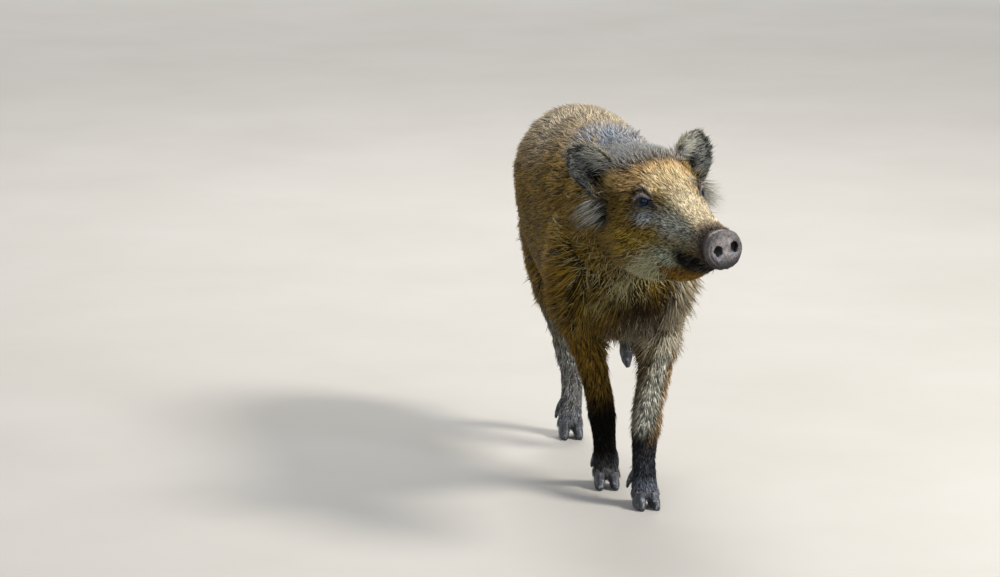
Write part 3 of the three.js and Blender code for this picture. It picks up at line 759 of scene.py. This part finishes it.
class Nodes:
    """A material's node tree, with its surface shader."""

    def __init__(self, name):
        self.material = bpy.data.materials.new(name)
        self.material.use_nodes = True
        self.tree = self.material.node_tree
        self.shader = self.tree.nodes["Principled BSDF"]

    def add(self, kind, inputs=None, **settings):
        node = self.tree.nodes.new(kind)
        for key, value in settings.items():
            setattr(node, key, value)
        for key, value in (inputs or {}).items():
            self.put(node, key, value)
        return node

    def put(self, node, key, value):
        """Sets an input, or links another node's output to it."""
        if isinstance(value, bpy.types.NodeSocket):
            self.tree.links.new(value, node.inputs[key])
        else:
            node.inputs[key].default_value = value

    def shade(self, **inputs):
        for key, value in inputs.items():
            self.put(self.shader, key.replace("_", " "), value)

    def noise(self, scale, detail=3.0, stretch=(1.0, 1.0, 1.0), turn=(0.0, 0.0, 0.0), rough=0.55):
        place = self.add("ShaderNodeTexCoord").outputs["Object"]
        inputs = {"Vector": place, "Scale": stretch, "Rotation": turn}
        mapped = self.add("ShaderNodeMapping", inputs).outputs[0]
        inputs = {"Vector": mapped, "Scale": scale, "Detail": detail, "Roughness": rough}
        return self.add("ShaderNodeTexNoise", inputs).outputs["Fac"]

    def colour(self, name):
        return self.add("ShaderNodeVertexColor", layer_name=name).outputs["Color"]

    def value(self, name):
        return self.add("ShaderNodeAttribute", attribute_name=name).outputs["Fac"]

    def spread(self, fac, start, end, low=0.0, high=1.0):
        inputs = {"Value": fac, "From Min": start, "From Max": end, "To Min": low, "To Max": high}
        return self.add("ShaderNodeMapRange", inputs).outputs["Result"]

    def mix(self, fac, a, b, blend="MIX"):
        node = self.add("ShaderNodeMix", data_type="RGBA", blend_type=blend)
        for socket, value in ((0, fac), (6, a), (7, b)):
            self.put(node, socket, value)
        return node.outputs[2]

    def toned(self, colour, tone):
        """A colour made darker or lighter by a factor."""
        grey = self.add("ShaderNodeCombineColor", {0: tone, 1: tone, 2: tone}).outputs[0]
        return self.mix(1, colour, grey, "MULTIPLY")

    def math(self, kind, a, b):
        return self.add("ShaderNodeMath", {0: a, 1: b}, operation=kind).outputs[0]

    def bumped(self, height, strength, distance):
        inputs = {"Height": height, "Strength": strength, "Distance": distance}
        self.shade(Normal=self.add("ShaderNodeBump", inputs).outputs[0])


def four(code):
    return (*srgb(code), 1)


def coat_material(name, streak):
    """Hair: its own colours, streaked along its length, with a soft gloss."""
    m = Nodes(name)
    fine = m.noise(streak, 4.0, (1.0, 0.35, 0.6))
    m.shade(Base_Color=m.toned(m.colour("coat"), m.spread(fine, 0.3, 0.7, 0.72, 1.22)))
    m.shade(Roughness=m.spread(fine, 0.3, 0.7, 0.50, 0.70))
    m.shade(Specular_IOR_Level=0.06)
    return m.material


def hide_material():
    """The skin: the coat's markings darkened by painted shade, under short flat hair; on the nose bare and
    rough, with painted shade and a painted highlight; wet at the eyes.
    """
    m = Nodes("hide")
    turn = tuple(math.radians(a) for a in (0.0, 0.0, -15.7))
    hairs = m.noise(700.0, 3.0, (1.0, 0.18, 0.7), turn)
    pores = m.noise(1100.0, 4.0)
    lumps = m.noise(260.0, 5.0)
    nose = m.value("nose")
    hair = m.toned(m.colour("coat"), m.spread(hairs, 0.3, 0.7, 0.6, 1.3))
    mud = m.spread(m.noise(900.0, 3.0, rough=0.7), 0.52, 0.58)
    disc = m.mix(m.spread(lumps, 0.35, 0.65), four("605957"), four("908886"))
    disc = m.mix(m.math("MULTIPLY", mud, m.value("mud")), disc, four("201a16"))
    disc = m.mix(1.0, disc, m.colour("shade"), "MULTIPLY")
    wet = m.value("wet")
    lid = m.mix(m.spread(lumps, 0.35, 0.65), four("544e4e"), four("8f8686"))
    colour = m.mix(m.value("lid"), m.mix(nose, hair, disc), lid)
    m.shade(Base_Color=m.mix(wet, colour, four("0c0a09")))
    dry = m.spread(lumps, 0.3, 0.7, 0.50, 0.72)
    m.shade(Roughness=m.math("SUBTRACT", dry, m.math("MULTIPLY", wet, 0.30)))
    m.shade(Specular_IOR_Level=0.4)
    height = m.mix(nose, m.mix(0.4, hairs, lumps), m.mix(0.5, pores, lumps))
    m.bumped(height, 0.55, 0.0007)
    return m.material


def eye_material():
    """A near-black eye with a brown edge and a painted navy reflection of the sky, smooth and wet."""
    m = Nodes("eye")
    rays = m.noise(900.0, 3.0)
    m.shade(Base_Color=m.mix(m.spread(rays, 0.3, 0.7, 0.75, 1.0), four("020203"), m.colour("iris")))
    m.shade(Roughness=m.spread(rays, 0.3, 0.7, 0.05, 0.11))
    m.shade(Specular_IOR_Level=0.14)
    return m.material


def claw_material():
    """Slate horn with growth lines, scratches and patches of dry mud."""
    m = Nodes("claw")
    streaks = m.noise(420.0, 4.0, (1.0, 1.0, 0.12))
    rings = m.noise(500.0, 2.0, (0.1, 0.1, 1.0))
    mud = m.spread(m.noise(160.0, 6.0, rough=0.65), 0.52, 0.66)
    horn = m.mix(m.spread(streaks, 0.35, 0.65), four("17181a"), four("3f4146"))
    horn = m.mix(m.spread(rings, 0.45, 0.6, 0.0, 0.35), horn, four("101112"))
    m.shade(Base_Color=m.mix(m.math("MULTIPLY", mud, 0.85), horn, four("767a84")))
    m.shade(Roughness=m.spread(mud, 0.0, 1.0, 0.42, 0.85))
    m.shade(Specular_IOR_Level=0.45)
    m.bumped(m.mix(0.5, streaks, rings), 0.5, 0.0006)
    return m.material


def floor_material():
    m = Nodes("floor")
    grain = m.noise(3.0, 4.0)
    m.shade(Base_Color=m.mix(m.spread(grain, 0.3, 0.7), four("999690"), four("9e9b96")), Roughness=0.85)
    return m.material


# ---- the skin


def paint_points(mesh, name, colours):
    """Stores a colour for each point of the mesh."""
    data = np.ones((len(colours), 4), np.float32)
    data[:, :3] = colours
    layer = mesh.color_attributes.new(name, "FLOAT_COLOR", "POINT")
    layer.data.foreach_set("color", data.ravel())


def value_points(mesh, name, values):
    layer = mesh.attributes.new(name, "FLOAT", "POINT")
    layer.data.foreach_set("value", np.ascontiguousarray(values, np.float32))


def place_piece(name, mesh, material):
    """A piece of the animal, riding on it, with its material and slot."""
    obj = add_object(name, mesh)
    mesh.materials.append(material)
    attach(obj, "root")
    return obj


dark, light = markings(p_mm, group)
h = to_head(p_mm)
side, back, height = h.T
skin_mesh = make_mesh("skin", points, triangles)
# The skin shows the coat's markings, darkened as painted shade of the coat's depths between the tufts; where
# the hair is short it is lighter.
short_hair = bounded(group["muzzle"] + group["lower_jaw"] + group["ear"] + group["foot"])[:, None]
paint_points(skin_mesh, "coat", dark * (0.75 - 0.1 * short_hair) + light * (0.08 + 0.22 * short_hair))
nostril, gleam = np.zeros(len(points)), np.zeros(len(points))
for place_across, place_up in NOSTRILS:
    u, v = side - place_across, height - place_up
    nostril = np.maximum(nostril, ramp(np.hypot(u, v * 0.75), 8.8, 5) * (back < -238))
    gleam += bump(np.hypot(u - 1, v + 9.5), 0, 2.4) * (back < -250)
# Painted shade in the nostrils: their walls are painted near-black, and the skin round them darker.
inner = ramp(back, -255.7, -254) * nostril
rim_of_disc = ramp(np.hypot(side / 25, (height + 23) / 24.5), 0.50, 0.95)
# Painted shade on the disc's lower part, which faces down; the disc also grows darker towards its rim.
low_disc = ramp(height, -27, -40)
shade = (1 - 0.30 * nostril) * (1 - 0.97 * inner) * (1 - 0.62 * rim_of_disc) * (1 - 0.78 * low_disc)
# A painted bluish highlight under each nostril, where the wet skin would reflect the sky.
shade = np.clip(shade, 0.005, 1.0)[:, None] + gleam[:, None] * np.array([0.2, 0.4, 0.8])
paint_points(skin_mesh, "shade", shade)
value_points(skin_mesh, "mud", bounded(0.55 + 0.45 * rim_of_disc + 0.4 * nostril + 0.4 * low_disc))
value_points(skin_mesh, "nose", bounded(nose_mask * 1.2) * ramp(back, -238, -243))
value_points(skin_mesh, "wet", ramp(lid_ring, 1.22, 1.06))
value_points(skin_mesh, "lid", upper_lid * (1 - 0.85 * to_nose) * ramp(lid_ring, 1.94, 1.82))
skin = place_piece("skin", skin_mesh, hide_material())
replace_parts(skin, *FLESH)

for obj in bpy.context.selected_objects:
    obj.select_set(False)
bpy.context.view_layer.objects.active = skin
skin.select_set(True)
bpy.ops.object.mode_set(mode="EDIT")
bpy.ops.mesh.select_all(action="SELECT")
bpy.ops.uv.smart_project(angle_limit=math.radians(66), island_margin=0.002)
bpy.ops.object.mode_set(mode="OBJECT")
skin_mesh.uv_layers[0].name = "OFBake"
skin_uv = np.zeros(len(skin_mesh.loops) * 2, np.float32)
skin_mesh.uv_layers["OFBake"].data.foreach_get("uv", skin_uv)
skin_uv = skin_uv.reshape(-1, 3, 2)


# ---- eyes and hooves


def make_eye(side):
    """An eyeball with its cornea's bulge, its colours set by the angle from its gaze."""
    centre, gaze, nose, up = eye_axes(side)
    across, along = 96, 64
    angles = np.arange(across) / across * 2 * np.pi
    rows = np.linspace(0.0, np.pi, along + 1)[1:-1]
    ring = np.cos(angles)[:, None] * nose + np.sin(angles)[:, None] * up
    around = [math.cos(t) * gaze + math.sin(t) * ring for t in rows]
    directions = np.concatenate([gaze[None], *around, -gaze[None]])
    turned = np.arccos(np.clip(directions @ gaze, -1, 1))
    radius = EYE_RADIUS - 0.25 + 0.55 * ramp(turned, 0.85, 0.35)
    i = np.arange(across)
    follow = (i + 1) % across
    row = 1 + np.arange(len(rows) - 1)[:, None] * across
    quads = np.stack([row + i, row + i + across, row + follow + across, row + follow], axis=-1)
    last = len(directions) - 1
    front = np.stack([0 * i, 1 + i, 1 + follow], axis=1)
    rear = np.stack([0 * i + last, last - across + follow, last - across + i], axis=1)
    faces = np.concatenate([split(quads.reshape(-1, 4)), front, rear])
    mesh = make_mesh("eyeball", (centre + directions * radius[:, None]) * MM, faces)
    u, v = directions @ nose, directions @ up
    pupil = ramp(np.hypot(u / 0.34, v / 0.22), 1.1, 0.9)[:, None]
    white = ramp(turned, 0.92, 1)[:, None]
    rim = bump(turned, 0.86, 0.12)[:, None]
    brown = ramp(u, -0.05, -0.55)[:, None]
    # The navy over most of the eye is a painted reflection of the sky; under it the eye is near-black, brown
    # towards the temple, with a dark ring and pupil.
    iris = srgb("07162c")
    for code, share in (("3a251a", brown), ("060508", rim), ("03060f", pupil), ("33241d", white)):
        iris = covered(iris, code, share)
    paint_points(mesh, "iris", iris)
    name = "eye_left" if side > 0 else "eye_right"
    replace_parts(place_piece("eyeball_" + name[4:], mesh, EYE_MATERIAL), name)


def make_claw(name):
    """A hoof or dewclaw: the node's form smoothed, with growth rings, and flat where it stands."""
    block = Volume([name], 0.9 * MM, 4 * MM)
    points, quads = block.surface(0.0)
    triangles = split(quads)
    floor = points[:, 2].min()
    relax(points, edges_of(triangles), 9, 0.6)
    low = np.array(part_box(name)[0])
    p_mm = points / MM
    height = p_mm[:, 2] - low[2] / MM
    normals = vertex_normals(points, triangles)
    rings = 0.16 * np.sin(height / 2.3 * 2 * np.pi + 1.6 * noise(p_mm, 12)) + 0.18 * noise(p_mm, 4)
    points += normals * ((rings * ramp(height, 1, 4) - 0.25) * MM)[:, None]
    points[:, 2] = np.maximum(points[:, 2], low[2])
    if low[2] < 1e-3:
        flat = points[:, 2] < floor + 0.9 * MM
        points[flat, 2] = 0
    piece = place_piece("horn_" + name, make_mesh("horn", points, triangles), CLAW_MATERIAL)
    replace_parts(piece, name)


EYE_MATERIAL = eye_material()
CLAW_MATERIAL = claw_material()
for eye in (-1, 1):
    make_eye(eye)
for n in nodes:
    if "hoof" in n or "dewclaw" in n:
        make_claw(n)


# ---- the coat

TUFT_FACES = np.array([[0, 2, 1], [0, 3, 2], [0, 1, 3], [4, 1, 2], [4, 2, 3], [4, 3, 1]])
# Where each point of a tuft lies in its patch of the bake's map, from -0.5 to 0.5.
PATCH = np.array([[-0.5, 0.0], [0.0, -0.5], [0.05, 0.1], [0.0, 0.5], [0.5, 0.0]])


class Roots:
    """Places on the skin for tufts, with all that the skin carries there."""

    def __init__(self, count, weight):
        corner = [points[triangles[:, i]] for i in range(3)]
        area = np.linalg.norm(np.cross(corner[1] - corner[0], corner[2] - corner[0]), axis=1) / 2
        share = np.cumsum(area * weight[triangles].mean(axis=1))
        picks = (np.arange(count) + rng.random(count)) / count * share[-1]
        self.face = np.minimum(np.searchsorted(share, picks), len(triangles) - 1)
        a, b = rng.random(count), rng.random(count)
        over = a + b > 1
        a[over], b[over] = 1 - a[over], 1 - b[over]
        self.weights = np.stack([1 - a - b, a, b], axis=1)
        self.at = self.blend(points)
        self.normal = unit(self.blend(normals))
        lie = self.blend(flow)
        self.flow = unit(lie - self.normal * np.sum(lie * self.normal, axis=1, keepdims=True))
        rows = self.blend(carried)
        self.depth, self.long, self.wide = rows[:, :3].T
        self.group = {g: rows[:, 5 + i] for i, g in enumerate(GROUPS)}
        self.uv = np.einsum("ij,ijk->ik", self.weights, skin_uv[self.face])

    def blend(self, values):
        """Each root's value, from the three corners of its triangle."""
        return np.einsum("ij,ijk->ik", self.weights, values[triangles[self.face]])


def grow(r, length, width, height, turn, dark, tip_colour, blend, pull=0.0, lock=None):
    """The points and colours of one tuft for each root: a blade that rises, lies over and ends in a tip."""
    aside = np.cross(r.normal, r.flow)
    lie = unit(r.flow * np.cos(turn)[:, None] + aside * np.sin(turn)[:, None])
    aside = unit(np.cross(r.normal, lie))
    root = r.at / MM - r.normal * ROOT_DEPTH
    tip = root + lie * length[:, None] + r.normal * (height + ROOT_DEPTH)[:, None]
    if lock is not None:
        # Neighbours share a lock: their tips draw together.
        gather = root[lock] + unit(tip[lock] - root[lock]) * length[:, None]
        tip += (gather - tip) * np.broadcast_to(pull, len(tip))[:, None]
    middle = root + (tip - root) * TUFT_WAIST + r.normal * (height * TUFT_RISE)[:, None]
    width = width[:, None]
    ring = [middle - aside * width / 2, middle + r.normal * width * TUFT_CREST, middle + aside * width / 2]
    made = np.stack([root, *ring, tip], axis=1) * MM
    blend = np.broadcast_to(blend, len(tip))[:, None]
    edge = dark * (1 - blend) + tip_colour * blend
    crest = dark * (0.8 - 0.8 * blend) + tip_colour * (0.2 + 0.8 * blend)
    return made, np.stack([dark * 0.6, edge, crest, edge, tip_colour], axis=1)


def tuft_pieces(name, material, made, shade, uv, order):
    """Cuts the tufts into pieces, by order along the body, and makes each piece."""
    rank = np.argsort(order, kind="stable")
    parts = math.ceil(len(rank) / TUFTS_A_PIECE)
    for number, chosen in enumerate(np.array_split(rank, parts)):
        faces = (TUFT_FACES[None] + 5 * np.arange(len(chosen))[:, None, None]).reshape(-1, 3)
        blades = made[chosen].reshape(-1, 3)
        blades[:, 0] = np.clip(blades[:, 0], -COAT_SIDE, COAT_SIDE)
        mesh = make_mesh(name, blades, faces)
        paint_points(mesh, "coat", shade[chosen].reshape(-1, 3))
        patch = (uv[chosen][:, None, :] + PATCH[None] * TUFT_PATCH)[:, TUFT_FACES.ravel()]
        layer = mesh.uv_layers.new(name="OFBake")
        layer.data.foreach_set("uv", np.ascontiguousarray(patch, np.float32).ravel())
        place_piece(f"{name}_{number + 1}", mesh, material)


def hair_form(p, group):
    """How much longer than usual for its part the hair is, and how much further it stands off."""
    h = to_head(p)
    back, height = h[:, 1], h[:, 2]
    _, y, z = p.T
    head, body, _ = shares(group)
    jowl = head * ramp(height, -26, -50) * ramp(back, -150, -105)
    crown = head * ramp(height, 46, 62) * ramp(back, -84, -50)
    behind = head * ramp(back, -88, -45)
    breast = body * ramp(y, -50, -95) * ramp(z, 345, 315)
    mane = body * ramp(z, 440, 460) * ramp(y, 90, 20)
    belly = body * ramp(z, 228, 200)
    longer = 1 + 1.1 * jowl + 0.5 * crown + 0.6 * behind + 0.45 * breast + 0.3 * mane + 0.3 * belly
    higher = 1 + 0.3 * jowl + crown + 0.35 * breast + 0.3 * mane
    return longer, higher


kinds = {"face": [], "ears": [], "legs": [], "body": []}


def keep(kind, made, shade, r, chosen=slice(None)):
    """Puts grown tufts with the others of their kind of coat."""
    kinds[kind].append((made[chosen], shade[chosen], r.uv[chosen], (r.at / MM)[chosen, 1]))


# The even coat. Its tufts are of two sorts: broad ones that cover, and thin bristles with lighter tips.
bare = ramp(nose_mask, 0.45, 0.80)
shorn = np.maximum(upper_lid, 0.6 * to_nose)
hairy = ramp(lid_ring, 1.15 + 0.68 * shorn, 1.45 + 0.55 * shorn) * (1 - bare)
hairy[points[:, 2] < 3 * MM] = 0
roots = Roots(TUFTS, carried[:, 3] * hairy)
p = roots.at / MM
dark, light = markings(p, roots.group)
longer, higher = hair_form(p, roots.group)
head_part, body_part, leg_part = shares(roots.group)
count = len(p)
leaders = rng.choice(count, LOCKS, replace=False)
leader_tree = search_tree(p[leaders])
which = np.array([leader_tree.find(q)[1] for q in p])
lock = leaders[which]
ripe = rng.random(LOCKS)[which]
spread = rng.random((7, count))
bristle = spread[0] < BRISTLES
close = ramp(eye_distance(p), 10, 26)
length = roots.long * longer * (0.72 + 0.56 * spread[1]) * np.where(bristle, 1.4, 1.0)
width = roots.wide * (0.75 + 0.5 * spread[2]) * np.where(bristle, 0.95 + 0.25 * head_part, 1.25)
rise = roots.depth * higher * (0.55 + 0.45 * spread[3]) * np.where(bristle, 1.25, 0.85)
length *= 0.38 + 0.62 * close
width *= 0.6 + 0.4 * close
rise *= 0.4 + 0.6 * close
turn = 0.26 * noise(p, 30) + 0.20 * noise(p, 10) + (spread[4] - 0.5) * np.where(bristle, 0.5, 0.2)
turn += 0.30 * (rng.random(LOCKS)[which] - 0.5)

# Bands of lighter tips run round the body; a few locks stay dark and a few are pale.
wave = np.sin((p[:, 1] * 0.9 - p[:, 2] * 0.6 + 16 * noise(p, 55)) / 24 * 2 * np.pi)
amount = 0.55 * ripe**2 + 0.26 * wave * body_part + np.where(bristle, 0.28 + 0.95 * spread[5], -0.06)
amount = np.where(spread[6] < DARK_TUFTS, amount * 0.25, amount)
tips = dark + (light - dark) * np.clip(amount, 0, 1.3)[:, None]
blend, pull = np.where(bristle, 0.55, 0.38), np.where(bristle, 0.22, 0.5)
made, shade = grow(roots, length, width, rise, turn, dark, tips, blend, pull, lock)
kind = np.argmax([head_part, roots.group["ear"], leg_part, body_part + roots.group["tail"]], axis=0)
for index, name in enumerate(kinds):
    keep(name, made, shade, roots, kind == index)


def strands(kind, count, weight, lengths, width, lift, codes, way=None, stray=0.25):
    """Long single bristles, rooted by weight, between two lengths, lying in the coat's way or their own."""
    r = Roots(count, weight)
    if way is not None:
        r.flow = unit(way(to_head(r.at / MM), r.normal))
    chance = rng.random((4, count))
    length = lengths[0] + (lengths[1] - lengths[0]) * chance[0]
    turn = stray * (chance[1] - 0.5) * 2 + 0.3 * noise(r.at / MM, 14)
    dark, light = markings(r.at / MM, r.group)
    dark = 0.5 * dark + 0.5 * srgb(codes[0])
    tips = (0.25 * light + 0.75 * srgb(codes[1])) * (0.7 + 0.5 * chance[2])[:, None]
    width = width * (0.7 + 0.6 * chance[3])
    keep(kind, *grow(r, length, width, lift * (0.5 + chance[2]), turn, dark, tips, 0.55), r)


out = np.abs(side)
x, y, z = p_mm.T
head_part, body_part, _ = shares(group)
ear_part = group["ear"]
along, across, hollow = ear_place(h)


def both(direction):
    """A direction of the left side's, for strands of both sides."""
    return lambda h, normal: from_head(mirrored(h) * np.array(direction))


RUFF_WAYS = {-1: both((0.85, 0.20, -0.50)), 1: both((0.93, -0.10, -0.28))}
below_ear = head_part * ramp(out, 44, 52) * bump(back, -50, 11) * bump(height, 10, 13)
strands("ears", 64, below_ear * (side < 0), (26, 52), 1, 4, ("1b1c1d", "b9bbb3"), RUFF_WAYS[-1], 0.5)
strands("ears", 360, below_ear * (side > 0), (24, 54), 1, 3, ("3c3c38", "c9c8be"), RUFF_WAYS[1], 0.6)
rim = ear_part * ramp(across, -15, -22) * ramp(along, 4, 14)
strands("ears", 600, rim, (6.0, 10.0), 0.7, 1.5, ("2d2a24", "a29c86"), both((0.15, 0.25, 0.9)), 0.5)
inside = ear_part * ramp(hollow, -1, 1) * ramp(across, 2, -8) * bump(along, 24, 14)
strands("ears", 440, inside, (13.0, 24.0), 0.9, 2.5, ("171715", "a2a195"), both((0.90, 0.05, 0.12)), 0.5)
front = head_part * ramp(out, 38, 46) * bump(back, -62, 9) * bump(height, 34, 16)
strands("face", 420, front, (9.0, 16.0), 0.7, 2.5, ("2a2213", "8f7a4a"), both((0.55, 0.45, 0.70)), 0.5)
crown = head_part * ramp(height, 48, 62) * ramp(back, -88, -56)
strands("face", 3200, crown, (10, 17), 0.9, 8, ("1f2126", "858887"), stray=0.5)
jowl = head_part * bump(height, -29 - 0.42 * (back + 190), 12) * ramp(back, -165, -125)
strands("face", 1500, jowl, (14, 28), 0.95, 6, ("25230f", "cfcca6"), stray=0.7)
stripe = body_part * bump(z, 304 + 0.75 * (x + 14), 11) * ramp(x, 8, -8) * ramp(x, -66, -46)
strands("body", 700, stripe * ramp(y, -60, -90), (18, 34), 0.9, 6, ("33301d", "c4bd95"), stray=0.6)
breast = body_part * bump(z, 224, 15) * ramp(y, -40, -75) * ramp(x, -50, -10)
strands("body", 2300, breast, (26, 42), 1, 6, ("2a1f12", "d9ccb0"), stray=0.55)
throat = body_part * ramp(y, -40, -80) * bump(z, 290, 50) * ramp(x, 60, 30)
strands("body", 1500, throat, (18, 36), 1.2, 7, ("2b2414", "b5a878"), stray=0.9)
# Pale strands on the left shoulder, painted light from that side.
shoulder = body_part * ramp(x, 48, 66) * ramp(y, 20, -40) * bump(z, 270, 60)
strands("body", 1500, shoulder, (20, 34), 1, 6, ("6b5f4c", "efe6cf"), stray=0.5)
mane = body_part * ramp(z, 448, 462) * ramp(y, 120, 60)
strands("body", 2200, mane, (22, 32), 1, 6, ("3b4047", "a7adb4"))
tail = group["tail"] * ramp(z, 330, 290)
strands("body", 900, tail, (24, 42), 1, 2, ("1c1710", "5b5038"), stray=0.4)
whiskers = (group["muzzle"] + group["lower_jaw"]) * ramp(back, -196, -214) * ramp(height, 0, -20)
strands("face", 110, whiskers * (1 - bare), (7, 20), 0.4, 5, ("14100b", "8f8a7c"), stray=0.5)
lashes = head_part * bump(lid_ring, 1.2, 0.08) * upper_lid
strands("face", 130, lashes, (4.0, 6.5), 0.45, 0.0, ("0a0908", "2a2825"), both((0.60, -0.70, 0.25)), 0.5)

# The hair at the feet hangs over the tops of the hooves.
claws = [n for n in nodes if "hoof" in n]
for foot in (n for n in FLESH if n.endswith("_foot")):
    own = [c for c in claws if c.startswith(foot[:-5])]
    horn = np.concatenate([welded(nodes[c].data)[0] for c in own]) / MM
    away = horn.mean(axis=0) - welded(nodes[foot].data)[0].mean(axis=0) / MM
    tree = search_tree(horn)
    coronet = np.zeros(len(points))
    near = np.flatnonzero(node_names == foot)
    coronet[near] = [ramp(tree.find(q)[2], 11, 4) for q in p_mm[near]]

    def hang(h, normal):
        return away + normal * 3

    strands("legs", 700, coronet, (9, 14), 1.1, 2, ("16130f", "6c6c6a"), hang)

STREAKS = {"face": 900.0, "ears": 900.0, "legs": 600.0, "body": 450.0}
for name, parts in kinds.items():
    made, shade, uv, order = (np.concatenate([part[i] for part in parts]) for i in range(4))
    material = coat_material("coat_" + name, STREAKS[name])
    tuft_pieces("coat_" + name, material, made, shade, uv, order)


# ---- floor, light and camera


def area_light(name, at, size, power, colour, aim=(0.0, 0.0, 0.25)):
    data = bpy.data.lights.new(name, "AREA")
    data.shape = "DISK"
    data.size = size
    data.energy = power
    data.color = colour
    obj = add_object(name, data)
    obj.location = at
    obj.rotation_euler = (Vector(aim) - Vector(at)).to_track_quat("-Z", "Y").to_euler()


corners = FLOOR_HALF * np.array([[-1, -1, 0], [1, -1, 0], [1, 1, 0], [-1, 1, 0]])
floor = add_object("floor", make_mesh("floor", corners, np.array([[0, 1, 2, 3]])))
floor.data.materials.append(floor_material())

area_light("key", (2.2, -1.2, 2.7), 0.9, 196.0, (1.0, 0.955, 0.88))
area_light("fill", (-1.6, -3.2, 1.7), 2.2, 34.0, (0.90, 0.95, 1.0))
area_light("catch", (1.65, -2.50, 1.50), 0.3, 26.0, (0.70, 0.82, 1.0))
area_light("rim", (0.2, 2.3, 2.4), 1.4, 64.0, (1.0, 0.97, 0.93))
area_light("far", (0.6, 8.0, 5.0), 7.0, 520.0, (1.0, 0.98, 0.95), (0.6, 8.0, 0.0))
world = bpy.data.worlds.new("studio")
world.use_nodes = True
world.node_tree.nodes["Background"].inputs["Color"].default_value = (0.88, 0.92, 1.0, 1.0)
world.node_tree.nodes["Background"].inputs["Strength"].default_value = 0.55
bpy.context.scene.world = world
bpy.context.scene.view_settings.view_transform = "Standard"

camera = add_object("camera", bpy.data.cameras.new("camera"))
camera.data.sensor_width = 36.0
camera.data.lens = CAMERA_LENS
camera.data.clip_start = 0.1
camera.data.clip_end = 60.0
azimuth, elevation = math.radians(CAMERA_AZIMUTH), math.radians(CAMERA_ELEVATION)
level = math.cos(elevation)
backwards = Vector((math.sin(azimuth) * level, -math.cos(azimuth) * level, math.sin(elevation)))
camera.location = CAMERA_AT
camera.rotation_euler = (-backwards).to_track_quat("-Z", "Y").to_euler()
bpy.context.scene.camera = camera
